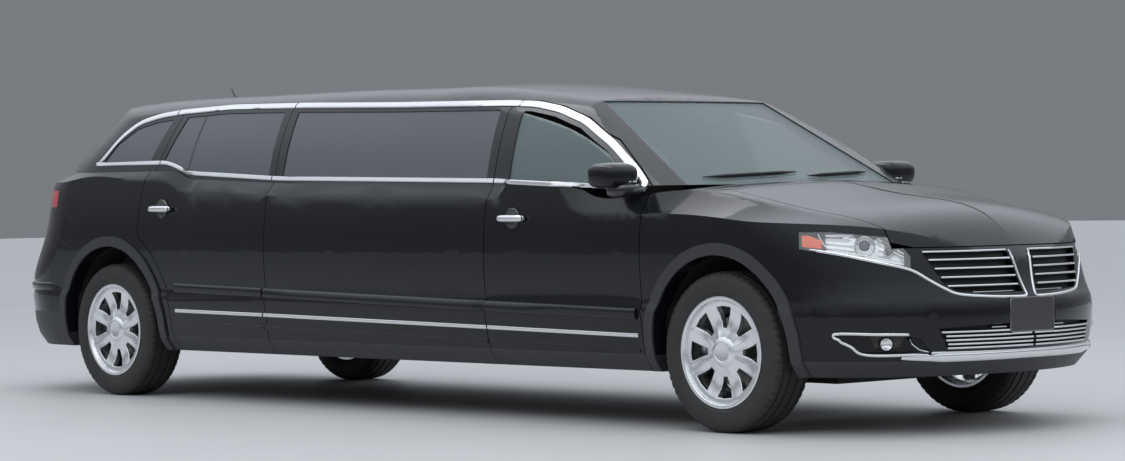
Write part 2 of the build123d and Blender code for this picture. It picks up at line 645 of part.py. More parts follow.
def handle(rear_x, z, skin_y):
    """Strap handle on two posts that run into the door skin."""
    strap_y = skin_y - HANDLE_STAND - HANDLE_DEPTH
    with BuildPart() as strap:
        with BuildSketch(Plane((rear_x, strap_y, z), x_dir=(1, 0, 0), z_dir=(0, 1, 0))):
            SlotOverall(HANDLE_LENGTH, HANDLE_HEIGHT, align=(Align.MIN, Align.CENTER))
        extrude(amount=HANDLE_DEPTH)
        for post_x in (rear_x + HANDLE_POST, rear_x + HANDLE_LENGTH - HANDLE_POST):
            with BuildSketch(Plane((post_x, strap_y, z), x_dir=(1, 0, 0), z_dir=(0, 1, 0))):
                Circle(HANDLE_HEIGHT / 2 - GLASS_THICKNESS / 2)
            extrude(amount=HANDLE_DEPTH + HANDLE_STAND + OVERRUN)
    return strap.part


# Front door, rear door and their glass
with BuildPart() as front_door:
    add(SHELL & FRONT_DOOR_PRISM)
    add(straight_prism(FRONT_WINDOW), mode=Mode.SUBTRACT)
    add(door_leaves(FRONT_DOOR_X))
    add(handle(CENTRE_FRONT_X + FRONT_HANDLE_BACK, HANDLE_Z_SHARES[0] * BODY_HEIGHT, -HALF_WIDTH + HANDLE_POST))
export_pair(front_door.part, "front_door")

with BuildPart() as rear_door:
    add(SHELL & REAR_DOOR_PRISM)
    add(straight_prism(REAR_WINDOW), mode=Mode.SUBTRACT)
    add(door_leaves(CENTRE_REAR_X))
    add(handle(REAR_DOOR_BELT_X + REAR_HANDLE_BACK, HANDLE_Z_SHARES[1] * BODY_HEIGHT, -HALF_WIDTH + HANDLE_POST))
export_pair(rear_door.part, "rear_door")

with BuildPart() as front_glass:
    add(GLASS_LAYER & straight_prism(FRONT_WINDOW))
export_pair(front_glass.part, "front_door_glass")

with BuildPart() as rear_glass:
    add(GLASS_LAYER & straight_prism(REAR_WINDOW))
export_pair(rear_glass.part, "rear_door_glass")

# Fixed glass
with BuildPart() as centre_glass:
    add(GLASS_LAYER & straight_prism(CENTRE_WINDOW, 0))
export(centre_glass.part, "centre_glass")

with BuildPart() as quarter_glass:
    add(GLASS_LAYER & straight_prism(QUARTER_WINDOW, 0))
export(quarter_glass.part, "quarter_glass")

with BuildPart() as windshield:
    add(GLASS_LAYER & windshield_prism)
export(windshield.part, "windshield")

# Fixed panels
with BuildPart() as roof:
    add(BODY_SIDE & straight_prism(ROOF_REGION, 0))
export(largest(roof.part), "roof")

with BuildPart() as centre_panel:
    add(BODY_SIDE & straight_prism(CENTRE_REGION))
    for x in (CENTRE_REAR_X + BRACKET_LENGTH, CENTRE_FRONT_X - 2 * BRACKET_LENGTH):
        add(bracket(x))
export_pair(largest(centre_panel.part), "centre_panel")

TAIL_LAMP_LOW_Z = 1058.0
TAIL_LAMP_HIGH_Z = 1151.0
TAIL_LAMP_FRONT_X = -2865.0
TAIL_LAMP_DEPTH = 60.0
lamp_band = block((-HALF_LENGTH - OVERRUN, -BODY_WIDTH, TAIL_LAMP_LOW_Z),
                  (TAIL_LAMP_FRONT_X, BODY_WIDTH, TAIL_LAMP_HIGH_Z)) - side_form(TAIL_LAMP_DEPTH)
with BuildPart() as quarter:
    add(BODY_SIDE & straight_prism(QUARTER_REGION))
    add(lamp_band, mode=Mode.SUBTRACT)
export_pair(largest(quarter.part), "quarter")

with BuildPart() as tail_lamps:
    add(BODY_SIDE & straight_prism(QUARTER_REGION, 0) & lamp_band)
export(tail_lamps.part, "tail_lamps")

HEADLAMP_OUTLINE = [(-221.0, 838.0), (-92.0, 815.0), (265.0, 748.0), (265.0, 800.0), (196.0, 882.0),
                    (-92.0, 912.0), (-221.0, 912.0)]
FOG_OUTLINE = [(-60.0, 458.0), (215.0, 452.0), (300.0, 440.0), (345.0, 378.0), (45.0, 374.0)]
FOG_FLOOR = 28.0
FOG_LAMP_PLACE = (150.0, 414.0)
FOG_LAMP_RADIUS = 34.0
FOG_LAMP_DEPTH = 30.0
HEADLAMP_REGION = [(BUMPER_SEAM_X, BUMPER_STEP_Z), (HALF_LENGTH, BUMPER_STEP_Z), (HALF_LENGTH, ROOF_SEAM_Z),
                   (BUMPER_SEAM_X, ROOF_SEAM_Z)]
HEADLAMP_CENTRE = (3100.0, -760.0, 0.0)
HEADLAMP_TURN = 42.0
HEADLAMP_DEPTH = 400.0
headlamp_turn = radians(HEADLAMP_TURN)
HEADLAMP_PLANE = Plane(HEADLAMP_CENTRE, x_dir=(sin(headlamp_turn), cos(headlamp_turn), 0),
                       z_dir=(cos(headlamp_turn), -sin(headlamp_turn), 0))
with BuildPart() as headlamp_prism:
    with BuildSketch(HEADLAMP_PLANE):
        Polygon(*HEADLAMP_OUTLINE, align=None)
    extrude(amount=HEADLAMP_DEPTH, both=True)

with BuildPart() as fog_prism:
    with BuildSketch(HEADLAMP_PLANE.offset(FOG_FLOOR)):
        Polygon(*FOG_OUTLINE, align=None)
    extrude(amount=HEADLAMP_DEPTH)

with BuildPart() as fog_lamps:
    with BuildSketch(HEADLAMP_PLANE.offset(FOG_FLOOR)):
        with Locations(FOG_LAMP_PLACE):
            Circle(FOG_LAMP_RADIUS)
    extrude(amount=FOG_LAMP_DEPTH)
    mirror(about=Plane.XZ)
export(fog_lamps.part, "fog_lamps")

COWL = plan_prism(COWL_PLAN, COWL_LOW_Z, top_z)
with BuildPart() as fender:
    add(BODY_SIDE & straight_prism(FENDER_REGION))
    add(COWL, mode=Mode.SUBTRACT)
    add(headlamp_prism.part, mode=Mode.SUBTRACT)
export_pair(largest(fender.part), "front_fender")

with BuildPart() as cowl:
    add(BODY_SIDE & COWL & straight_prism(FENDER_REGION, 0))
export(largest(cowl.part), "cowl")

# Bumpers with the grille, plate and lower grille openings; outlines as shares of half width and height
GRILLE_WING_SHARES = [(0.046, 0.369), (0.420, 0.380), (0.482, 0.400), (0.556, 0.492), (0.083, 0.490)]
LOWER_GRILLE_SHARES = [(0.005, 0.229), (0.500, 0.229), (0.540, 0.286), (0.005, 0.300)]
GRILLE_BARS = 5
LOWER_BARS = 3
BAR_HEIGHT = 11.0
BAR_DEPTH = 34.0
PLATE_WIDTH = 305.0
PLATE_HEIGHT = 152.0
PLATE_Z = 452.0
PLATE_POCKET = 24.0
PLATE_THICKNESS = 8.0


def front_points(outline_shares):
    """Points of a front-view outline from its shares of half width and height."""
    return [(across * HALF_WIDTH, up * BODY_HEIGHT) for across, up in outline_shares]


def wing_prism(outline):
    """Prism of one wing of the grille from the bumper's corner forward, and its mirror image."""
    with BuildPart() as prism:
        with BuildSketch(section_plane(BUMPER_CORNER_X)):
            Polygon(*outline, align=None)
        extrude(amount=HALF_LENGTH + OVERRUN - BUMPER_CORNER_X)
        mirror(about=Plane.XZ)
    return prism.part


def slots(outline, bars):
    """Gaps between the bars of a grille, cut to one depth behind the nose."""
    low_z = min(z for _, z in outline) + BAR_HEIGHT
    pitch = (max(z for _, z in outline) - low_z) / bars
    with BuildPart() as gaps:
        for row in range(bars):
            slot_z = low_z + row * pitch
            add(block((BUMPER_CORNER_X, -HALF_WIDTH, slot_z),
                      (HALF_LENGTH + OVERRUN, HALF_WIDTH, slot_z + pitch - BAR_HEIGHT)))
        add(side_form(BAR_DEPTH), mode=Mode.SUBTRACT)
    return gaps.part


wing = front_points(GRILLE_WING_SHARES)
lower_wing = front_points(LOWER_GRILLE_SHARES)
grille_prism = wing_prism(wing)
lower_grille_prism = front_prism(lower_wing, BUMPER_CORNER_X, HALF_LENGTH + OVERRUN)
plate_x = HALF_LENGTH - PLATE_POCKET
plate_pocket = block((plate_x, -PLATE_WIDTH / 2 - PANEL_GAP, PLATE_Z - PANEL_GAP),
                     (HALF_LENGTH + OVERRUN, PLATE_WIDTH / 2 + PANEL_GAP, PLATE_Z + PLATE_HEIGHT + PANEL_GAP))

HEADLAMP_BODY = BODY_SIDE & straight_prism(HEADLAMP_REGION)
headlamp_cutter = headlamp_prism.part + mirror(headlamp_prism.part, about=Plane.XZ)
fog_cutter = fog_prism.part + mirror(fog_prism.part, about=Plane.XZ)
with BuildPart() as front_bumper:
    add(BODY_SIDE & straight_prism(FRONT_BUMPER_REGION, 0))
    for cutter in (headlamp_cutter, fog_cutter, grille_prism, lower_grille_prism, plate_pocket):
        add(cutter, mode=Mode.SUBTRACT)
export(largest(front_bumper.part), "front_bumper")

BODY_NOSE = BODY_SIDE & straight_prism(FRONT_BUMPER_REGION, 0)
with BuildPart() as grille:
    add(BODY_NOSE & grille_prism)
    add(slots(wing, GRILLE_BARS), mode=Mode.SUBTRACT)
export(grille.part, "grille")

with BuildPart() as lower_grille:
    add(BODY_NOSE & lower_grille_prism)
    add(slots(lower_wing, LOWER_BARS), mode=Mode.SUBTRACT)
    add(plate_pocket, mode=Mode.SUBTRACT)
export(largest(lower_grille.part), "lower_grille")

with BuildPart() as plate:
    add(block((plate_x, -PLATE_WIDTH / 2, PLATE_Z),
              (plate_x + PLATE_THICKNESS, PLATE_WIDTH / 2, PLATE_Z + PLATE_HEIGHT)))
    fillet(plate.edges().filter_by(Axis.X), PLATE_THICKNESS)
export(plate.part, "plate")

with BuildPart() as rear_bumper:
    add(BODY_SIDE & straight_prism(REAR_BUMPER_REGION, 0))
export(rear_bumper.part, "rear_bumper")

# Hood and liftgate
with BuildPart() as hood:
    add(LOWER_BODY & plan_prism(hood_outline(), HOOD_NOSE_Z, top_z))
    add(cover_form(HOOD_THICKNESS), mode=Mode.SUBTRACT)
export(hood.part, "hood")

backlight_prism = front_prism(upright(BACKLIGHT_HALF_WIDTHS), -HALF_LENGTH - OVERRUN, GATE_TOP_X)
GATE_LEAF_Y = 400.0
GATE_LEAF_Z = 1592.0
GATE_LEAF_HEIGHT = 20.0
with BuildPart() as liftgate:
    add(SHELL & front_prism(upright(GATE_HALF_WIDTHS), -HALF_LENGTH - OVERRUN, GATE_TOP_X))
    add(backlight_prism, mode=Mode.SUBTRACT)
    add(lamp_band, mode=Mode.SUBTRACT)
    for side in (-1, 1):
        low_y = side * GATE_LEAF_Y - LEAF_LENGTH / 2
        add(block((GATE_TOP_X - LEAF_LENGTH / 2, low_y, GATE_LEAF_Z),
                  (GATE_TOP_X + PANEL_GAP - SEAT_GAP, low_y + LEAF_LENGTH, GATE_LEAF_Z + GATE_LEAF_HEIGHT)))
export(liftgate.part, "liftgate")

with BuildPart() as liftgate_lamp:
    add(SHELL & front_prism(upright(GATE_HALF_WIDTHS), -HALF_LENGTH - OVERRUN, GATE_TOP_X) & lamp_band)
export(liftgate_lamp.part, "liftgate_lamp")

with BuildPart() as liftgate_glass:
    add(GLASS_LAYER & backlight_prism)
export(liftgate_glass.part, "liftgate_glass")

# Wheels: tyre, rim with its brake disc, and what carries them
TREAD_SHARE = 0.42
SHOULDER_DROP = 14.0
SIDEWALL_BULGE = 6.0
BEAD_HALF = 96.0
RIM_HALF = 104.0
SPOKE_DEPTH = 26.0
SPOKE_WINDOWS = 8
WINDOW_INNER = 105.0
WINDOW_OUTER = 212.0
WINDOW_TURN = 15.0
DISC_RADIUS = 168.0
DISC_THICKNESS = 26.0
DISC_OFFSET = 30.0
FACE_SET = 14.0
wheel_plane = Plane.XZ
half_tyre = TYRE_WIDTH / 2


def wheel_at(x, side):
    """Plane whose normal is the wheel's outward axle."""
    return Plane((x, side * HALF_TRACK, TYRE_RADIUS), x_dir=(1, 0, 0), z_dir=(0, side, 0))


def ring(profile, x, side):
    """Solid of revolution about a wheel's axle from points of radius and outward offset."""
    base = wheel_at(x, side)
    section = Plane(base.origin, x_dir=base.x_dir, z_dir=-base.y_dir)
    with BuildPart() as solid:
        with BuildSketch(section):
            Polygon(*[(radius, offset) for radius, offset in profile], align=None)
        revolve(axis=Axis(base.origin, base.z_dir))
    return solid.part


TYRE_PROFILE = [
    (RIM_RADIUS + SEAT_GAP, BEAD_HALF), (RIM_RADIUS + 24.0, half_tyre - SIDEWALL_BULGE), (RIM_RADIUS + 60.0, half_tyre),
    (TYRE_RADIUS - 34.0, half_tyre - SIDEWALL_BULGE), (TYRE_RADIUS - SHOULDER_DROP, half_tyre - 16.0),
    (TYRE_RADIUS, TREAD_SHARE * TYRE_WIDTH - SHOULDER_DROP),
]


def tyre(x, side):
    """Tyre ring with a flat tread and rounded shoulders."""
    profile = TYRE_PROFILE + [(radius, -offset) for radius, offset in reversed(TYRE_PROFILE)]
    return ring(profile, x, side)


def rim(x, side):
    """Rim barrel, pierced face, hub and brake disc in one piece."""
    barrel = [(RIM_RADIUS, -RIM_HALF), (RIM_RADIUS, RIM_HALF), (RIM_RADIUS - RIM_WALL, RIM_HALF),
              (RIM_RADIUS - RIM_WALL, -RIM_HALF)]
    face = [(0.0, RIM_HALF - FACE_SET - SPOKE_DEPTH), (0.0, RIM_HALF - FACE_SET / 2), (HUB_RADIUS, RIM_HALF - FACE_SET / 2),
            (HUB_RADIUS + FACE_SET, RIM_HALF - 2 * FACE_SET), (RIM_RADIUS - RIM_WALL, RIM_HALF - FACE_SET / 2),
            (RIM_RADIUS - RIM_WALL, RIM_HALF - FACE_SET - SPOKE_DEPTH)]
    hub = [(0.0, -DISC_OFFSET), (0.0, RIM_HALF - FACE_SET), (HUB_RADIUS, RIM_HALF - FACE_SET), (HUB_RADIUS, -DISC_OFFSET)]
    disc = [(0.0, -DISC_OFFSET), (0.0, DISC_THICKNESS - DISC_OFFSET), (DISC_RADIUS, DISC_THICKNESS - DISC_OFFSET),
            (DISC_RADIUS, -DISC_OFFSET)]
    base = wheel_at(x, side)
    with BuildPart() as wheel:
        add(ring(barrel, x, side))
        add(ring(face, x, side))
        with BuildSketch(base):
            with PolarLocations(0, SPOKE_WINDOWS):
                Polygon((WINDOW_INNER * cos(WINDOW_TURN / 4 * pi / 180), WINDOW_INNER * sin(WINDOW_TURN / 4 * pi / 180)),
                        (WINDOW_OUTER * cos(WINDOW_TURN * pi / 180), WINDOW_OUTER * sin(WINDOW_TURN * pi / 180)),
                        (WINDOW_OUTER * cos(WINDOW_TURN * pi / 180), -WINDOW_OUTER * sin(WINDOW_TURN * pi / 180)),
                        (WINDOW_INNER * cos(WINDOW_TURN / 4 * pi / 180), -WINDOW_INNER * sin(WINDOW_TURN / 4 * pi / 180)),
                        align=None)
        extrude(amount=RIM_HALF + OVERRUN, mode=Mode.SUBTRACT)
        add(ring(hub, x, side))
        add(ring(disc, x, side))
    return wheel.part


for place, axle_x in (("front", FRONT_AXLE_X), ("rear", REAR_AXLE_X)):
    for hand, side in (("right", -1), ("left", 1)):
        export(tyre(axle_x, side), f"{place}_{hand}_tyre")
        export(rim(axle_x, side), f"{place}_{hand}_rim")

# Front knuckles, subframe and rear axle
KNUCKLE_OUTER = HALF_TRACK - DISC_OFFSET - SEAT_GAP
KNUCKLE_INNER = KNUCKLE_OUTER - 60.0
KNUCKLE_HALF_HEIGHT = 130.0
KNUCKLE_HALF_LENGTH = 45.0
CALIPER_RADIUS = 190.0
ARM_Z = TYRE_RADIUS - KNUCKLE_HALF_HEIGHT
ARM_HEIGHT = 30.0
ARM_HALF_LENGTH = 55.0
ARM_SET = 10.0
SUBFRAME_HALF_WIDTH = 440.0
SUBFRAME_HALF_LENGTH = 260.0
SUBFRAME_HEIGHT = 60.0
KINGPIN_Y = (KNUCKLE_OUTER + KNUCKLE_INNER) / 2
KINGPIN_RADIUS = 20.0
TOWER_TOP_Z = 780.0
UPPER_ARM_Z = TYRE_RADIUS + KNUCKLE_HALF_HEIGHT + SEAT_GAP
RAIL_HALF_WIDTH = 470.0
RAIL_WIDTH = 70.0
RAIL_Z = UPPER_ARM_Z + ARM_HEIGHT
RAIL_HEIGHT = 90.0
RAIL_FRONT_X = 3330.0

for hand, side in (("right", -1), ("left", 1)):
    low_y, high_y = sorted((side * KNUCKLE_INNER, side * KNUCKLE_OUTER))
    with BuildPart() as knuckle:
        add(block((FRONT_AXLE_X - KNUCKLE_HALF_LENGTH, low_y, TYRE_RADIUS - KNUCKLE_HALF_HEIGHT),
                  (FRONT_AXLE_X + KNUCKLE_HALF_LENGTH, high_y, TYRE_RADIUS + KNUCKLE_HALF_HEIGHT)))
    export(knuckle.part, f"{hand}_front_knuckle")

with BuildPart() as front_subframe:
    add(block((FRONT_AXLE_X - SUBFRAME_HALF_LENGTH, -SUBFRAME_HALF_WIDTH, ARM_Z - ARM_HEIGHT - SEAT_GAP),
              (FRONT_AXLE_X + SUBFRAME_HALF_LENGTH, SUBFRAME_HALF_WIDTH, ARM_Z - ARM_HEIGHT + SUBFRAME_HEIGHT)))
    for side in (-1, 1):
        low_y, high_y = sorted((side * (SUBFRAME_HALF_WIDTH - OVERRUN), side * (KINGPIN_Y - ARM_SET)))
        add(block((FRONT_AXLE_X - ARM_HALF_LENGTH, low_y, ARM_Z - ARM_HEIGHT - SEAT_GAP),
                  (FRONT_AXLE_X + ARM_HALF_LENGTH, high_y, ARM_Z - SEAT_GAP)))
        add(block((FRONT_AXLE_X - KNUCKLE_HALF_LENGTH, low_y, UPPER_ARM_Z),
                  (FRONT_AXLE_X + KNUCKLE_HALF_LENGTH, high_y, UPPER_ARM_Z + ARM_HEIGHT)))
        post_low, post_high = sorted((side * (SUBFRAME_HALF_WIDTH - OVERRUN), side * SUBFRAME_HALF_WIDTH))
        add(block((FRONT_AXLE_X - KNUCKLE_HALF_LENGTH, post_low, ARM_Z), (FRONT_AXLE_X + KNUCKLE_HALF_LENGTH, post_high, UPPER_ARM_Z)))
export(front_subframe.part, "front_subframe")

with BuildPart() as rear_axle:
    add(block((REAR_AXLE_X - SUBFRAME_HALF_LENGTH, -SUBFRAME_HALF_WIDTH, TYRE_RADIUS - SUBFRAME_HEIGHT),
              (REAR_AXLE_X + SUBFRAME_HALF_LENGTH, SUBFRAME_HALF_WIDTH, TYRE_RADIUS + SUBFRAME_HEIGHT)))
    for side in (-1, 1):
        low_y, high_y = sorted((side * (SUBFRAME_HALF_WIDTH - OVERRUN), side * KNUCKLE_INNER))
        add(block((REAR_AXLE_X - ARM_HALF_LENGTH, low_y, TYRE_RADIUS - ARM_HEIGHT),
                  (REAR_AXLE_X + ARM_HALF_LENGTH, high_y, TYRE_RADIUS + ARM_HEIGHT)))
        low_y, high_y = sorted((side * KNUCKLE_INNER, side * KNUCKLE_OUTER))
        add(block((REAR_AXLE_X - KNUCKLE_HALF_LENGTH, low_y, TYRE_RADIUS - KNUCKLE_HALF_HEIGHT),
                  (REAR_AXLE_X + KNUCKLE_HALF_LENGTH, high_y, TYRE_RADIUS + KNUCKLE_HALF_HEIGHT)))
export(rear_axle.part, "rear_axle")

# Wheel arches: flares on the skin and liners inside it
FLARE_STAND = 12.0
LINER_WALL = 8.0
LINER_INNER_Y = 670.0
ARCHES = ((FRONT_AXLE_X, FRONT_ARCH_RADIUS), (REAR_AXLE_X, REAR_ARCH_RADIUS))


def arch_ring(axle_x, radius, width, low_z):
    """Half ring round a wheel arch, with legs down to a height, across the whole car."""
    with BuildPart() as band:
        for outer, mode in ((radius + width, Mode.ADD), (radius, Mode.SUBTRACT)):
            with BuildSketch(Plane.XZ):
                with Locations((axle_x, ARCH_Z)):
                    Circle(outer)
                with Locations((axle_x, ARCH_Z - outer)):
                    Rectangle(2 * outer, 2 * outer)
            extrude(amount=BODY_WIDTH, both=True, mode=mode)
        add(block((-FAR, -BODY_WIDTH, -FAR), (FAR, BODY_WIDTH, low_z)), mode=Mode.SUBTRACT)
    return band.part


skin = side_form(-FLARE_STAND) - LOWER_BODY
inside = LOWER_SPACE - block((-FAR, -LINER_INNER_Y, 0), (FAR, LINER_INNER_Y, BODY_HEIGHT))
with BuildPart() as arch_flares:
    for axle_x, radius in ARCHES:
        add(skin & arch_ring(axle_x, radius, FLARE_WIDTH, SILL_BOTTOM))
export(arch_flares.part, "arch_flares")

with BuildPart() as arch_liners:
    for axle_x, radius in ARCHES:
        add(inside & arch_ring(axle_x, radius, LINER_WALL, SILL_BOTTOM))
export(arch_liners.part, "arch_liners")

# Floor with its sills, rails and firewall
FLOOR_REAR_X = -1740.0
TAIL_FLOOR_HALF_WIDTH = 520.0
FIREWALL_X = 1960.0
FIREWALL_HALF_WIDTH = 700.0
REAR_FLOOR_Z = TYRE_RADIUS + SUBFRAME_HEIGHT
TAIL_FLOOR_X = -3330.0
with BuildPart() as floor_pan:
    add(block((FLOOR_REAR_X, -SILL_HALF_WIDTH, FLOOR_Z), (FIREWALL_X, SILL_HALF_WIDTH, FLOOR_Z + FLOOR_THICKNESS)))
    for side in (-1, 1):
        low_y, high_y = sorted((side * (SILL_HALF_WIDTH - SILL_WIDTH), side * SILL_HALF_WIDTH))
        add(block((FLOOR_REAR_X, low_y, SILL_Z), (FIREWALL_X, high_y, SILL_Z + SILL_HEIGHT)))
        low_y, high_y = sorted((side * (RAIL_HALF_WIDTH - RAIL_WIDTH), side * RAIL_HALF_WIDTH))
        add(block((FIREWALL_X - OVERRUN, low_y, RAIL_Z), (RAIL_FRONT_X, high_y, RAIL_Z + RAIL_HEIGHT)))
    add(block((FIREWALL_X - FLOOR_THICKNESS, -FIREWALL_HALF_WIDTH, FLOOR_Z), (FIREWALL_X, FIREWALL_HALF_WIDTH, COWL_LOW_Z)))
    add(block((FLOOR_REAR_X, -TAIL_FLOOR_HALF_WIDTH, FLOOR_Z), (FLOOR_REAR_X + FLOOR_THICKNESS, TAIL_FLOOR_HALF_WIDTH, REAR_FLOOR_Z)))
    add(block((TAIL_FLOOR_X, -TAIL_FLOOR_HALF_WIDTH, REAR_FLOOR_Z), (FLOOR_REAR_X + FLOOR_THICKNESS, TAIL_FLOOR_HALF_WIDTH, REAR_FLOOR_Z + FLOOR_THICKNESS)))
export(floor_pan.part, "floor_pan")

# Engine, fuel tank, driveshaft and exhaust
ENGINE_LENGTH = 560.0
ENGINE_WIDTH = 620.0
ENGINE_HEIGHT = 520.0
ENGINE_Z = ARM_Z - ARM_HEIGHT + SUBFRAME_HEIGHT
with BuildPart() as engine:
    add(block((FRONT_AXLE_X - ENGINE_LENGTH / 2, -ENGINE_WIDTH / 2, ENGINE_Z),
              (FRONT_AXLE_X + ENGINE_LENGTH / 2, ENGINE_WIDTH / 2, ENGINE_Z + ENGINE_HEIGHT)))
export(engine.part, "engine_block")

TANK_LENGTH = 620.0
TANK_WIDTH = 900.0
TANK_HEIGHT = 120.0
TANK_FRONT_X = -1050.0
with BuildPart() as fuel_tank:
    add(block((TANK_FRONT_X - TANK_LENGTH, 90.0, FLOOR_Z - TANK_HEIGHT),
              (TANK_FRONT_X, TANK_WIDTH - 2 * SILL_WIDTH, FLOOR_Z)))
export(fuel_tank.part, "fuel_tank")

SHAFT_RADIUS = 38.0
SHAFT_Z = 300.0
shaft_front_x = FRONT_AXLE_X - ENGINE_LENGTH / 2
with BuildPart() as driveshaft:
    with BuildSketch(section_plane(REAR_AXLE_X + SUBFRAME_HALF_LENGTH)):
        with Locations((0, SHAFT_Z)):
            Circle(SHAFT_RADIUS)
    extrude(amount=shaft_front_x - REAR_AXLE_X - SUBFRAME_HALF_LENGTH)
export(driveshaft.part, "driveshaft")

# Exhaust: silencer and tail pipes
PIPE_RADIUS = 28.0
PIPE_WALL = 3.0
TAIL_PIPE_X = -3300.0
SILENCER_LENGTH = 420.0
SILENCER_WIDTH = 560.0
SILENCER_HEIGHT = 150.0
SILENCER_X = -2720.0
with BuildPart() as exhaust:
    add(block((SILENCER_X - SILENCER_LENGTH, -SILENCER_WIDTH / 2, REAR_FLOOR_Z - SILENCER_HEIGHT),
              (SILENCER_X, SILENCER_WIDTH / 2, REAR_FLOOR_Z)))
    fillet(exhaust.edges().filter_by(Axis.Y), PIPE_RADIUS)
    for side in (-1, 1):
        with BuildSketch(section_plane(TAIL_PIPE_X)):
            with Locations((side * (SILENCER_WIDTH / 2 - PIPE_RADIUS - PANEL_GAP), REAR_FLOOR_Z - SILENCER_HEIGHT / 2)):
                Circle(PIPE_RADIUS)
                Circle(PIPE_RADIUS - PIPE_WALL, mode=Mode.SUBTRACT)
        extrude(amount=SILENCER_X - SILENCER_LENGTH - TAIL_PIPE_X)
export(exhaust.part, "exhaust")

# Door mirrors
MIRROR_BACK = 240.0
MIRROR_LENGTH = 175.0
MIRROR_INNER_Y = 905.0
MIRROR_OUTER_Y = 1090.0
MIRROR_Z = 1120.0
MIRROR_HEIGHT = 120.0
MIRROR_ROUND = 45.0
FOOT_LENGTH = 80.0
FOOT_HEIGHT = 30.0
with BuildPart() as mirror_housing:
    add(block((FRONT_DOOR_X - MIRROR_BACK, -MIRROR_OUTER_Y, MIRROR_Z),
              (FRONT_DOOR_X - MIRROR_BACK + MIRROR_LENGTH, -MIRROR_INNER_Y, MIRROR_Z + MIRROR_HEIGHT)))
    fillet(mirror_housing.edges().filter_by(Axis.Y), MIRROR_ROUND)
    foot_x = FRONT_DOOR_X - MIRROR_BACK + MIRROR_LENGTH / 2
    add(block((foot_x, -MIRROR_INNER_Y - FOOT_HEIGHT, MIRROR_Z), (foot_x + FOOT_LENGTH, -MIRROR_INNER_Y + FOOT_LENGTH, MIRROR_Z + FOOT_HEIGHT)))
    add(front_door.part, mode=Mode.SUBTRACT)
    add(front_glass.part, mode=Mode.SUBTRACT)
export_pair(largest(mirror_housing.part), "mirror")

# Headlamps and tail lamps
with BuildPart() as headlamp:
    add(HEADLAMP_BODY & headlamp_prism.part)
export_pair(headlamp.part, "headlamp")

# Saloon: dashboard, steering, seats and partition
DASH_X = 1500.0
DASH_LENGTH = 440.0
DASH_HALF_WIDTH = 690.0
DASH_Z = 780.0
DASH_HEIGHT = 250.0
with BuildPart() as dashboard:
    add(block((DASH_X, -DASH_HALF_WIDTH, DASH_Z), (FIREWALL_X - FLOOR_THICKNESS, DASH_HALF_WIDTH, DASH_Z + DASH_HEIGHT)))
    fillet(dashboard.edges().filter_by(Axis.Y).group_by(Axis.X)[0], MIRROR_ROUND)
export(dashboard.part, "dashboard")

WHEEL_Y = 380.0
WHEEL_X = 1400.0
WHEEL_Z = 960.0
STEERING_RADIUS = 182.0
STEERING_GRIP = 15.0
STEERING_TILT = 26.0
STEERING_HUB = 55.0
steering_tilt = STEERING_TILT * pi / 180
steering_plane = Plane((WHEEL_X, WHEEL_Y, WHEEL_Z), x_dir=(0, 1, 0), z_dir=(-cos(steering_tilt), 0, sin(steering_tilt)))
column_length = (DASH_X - WHEEL_X) / cos(steering_tilt) - STEERING_HUB / 2 * sin(steering_tilt) / cos(steering_tilt) - SEAT_GAP
with BuildPart() as steering_wheel:
    with Locations(steering_plane.location):
        Torus(STEERING_RADIUS, STEERING_GRIP)
        Cylinder(STEERING_HUB, 2 * STEERING_GRIP)
        Box(2 * STEERING_RADIUS, STEERING_HUB, STEERING_GRIP)
        Cylinder(STEERING_HUB / 2, column_length, align=(Align.CENTER, Align.CENTER, Align.MAX))
export(steering_wheel.part, "steering_wheel")

SEAT_LENGTH = 520.0
SEAT_WIDTH = 520.0
SEAT_HEIGHT = 300.0
BACK_HEIGHT = 520.0
BACK_THICKNESS = 150.0
FRONT_SEAT_X = 700.0
REAR_SEAT_X = -2100.0
REAR_SEAT_WIDTH = 1300.0
SEAT_Z = FLOOR_Z + FLOOR_THICKNESS
SEAT_ROUND = 50.0
HEADREST_WIDTH = 260.0
HEADREST_HEIGHT = 150.0
HEADREST_THICKNESS = 90.0
COUCH_FRONT_X = 300.0
COUCH_REAR_X = -850.0
COUCH_OUTER_Y = SILL_HALF_WIDTH - SILL_WIDTH - SEAT_GAP
COUCH_DEPTH = 500.0


def cushion(low, high):
    """Seat block with rounded edges."""
    with BuildPart() as pad:
        add(block(low, high))
        fillet(pad.edges(), SEAT_ROUND)
    return pad.part


back_top = SEAT_Z + SEAT_HEIGHT + BACK_HEIGHT
with BuildPart() as front_seats:
    for seat_y in (-WHEEL_Y, WHEEL_Y):
        low_y, high_y = seat_y - SEAT_WIDTH / 2, seat_y + SEAT_WIDTH / 2
        add(cushion((FRONT_SEAT_X - BACK_THICKNESS, low_y, SEAT_Z), (FRONT_SEAT_X + SEAT_LENGTH, high_y, SEAT_Z + SEAT_HEIGHT)))
        add(cushion((FRONT_SEAT_X - BACK_THICKNESS, low_y, SEAT_Z), (FRONT_SEAT_X, high_y, back_top)))
        add(block((FRONT_SEAT_X - HEADREST_THICKNESS - SEAT_ROUND / 2, seat_y - HEADREST_WIDTH / 2, back_top - SEAT_ROUND),
                  (FRONT_SEAT_X - SEAT_ROUND / 2, seat_y + HEADREST_WIDTH / 2, back_top + HEADREST_HEIGHT)))
export(front_seats.part, "front_seats")

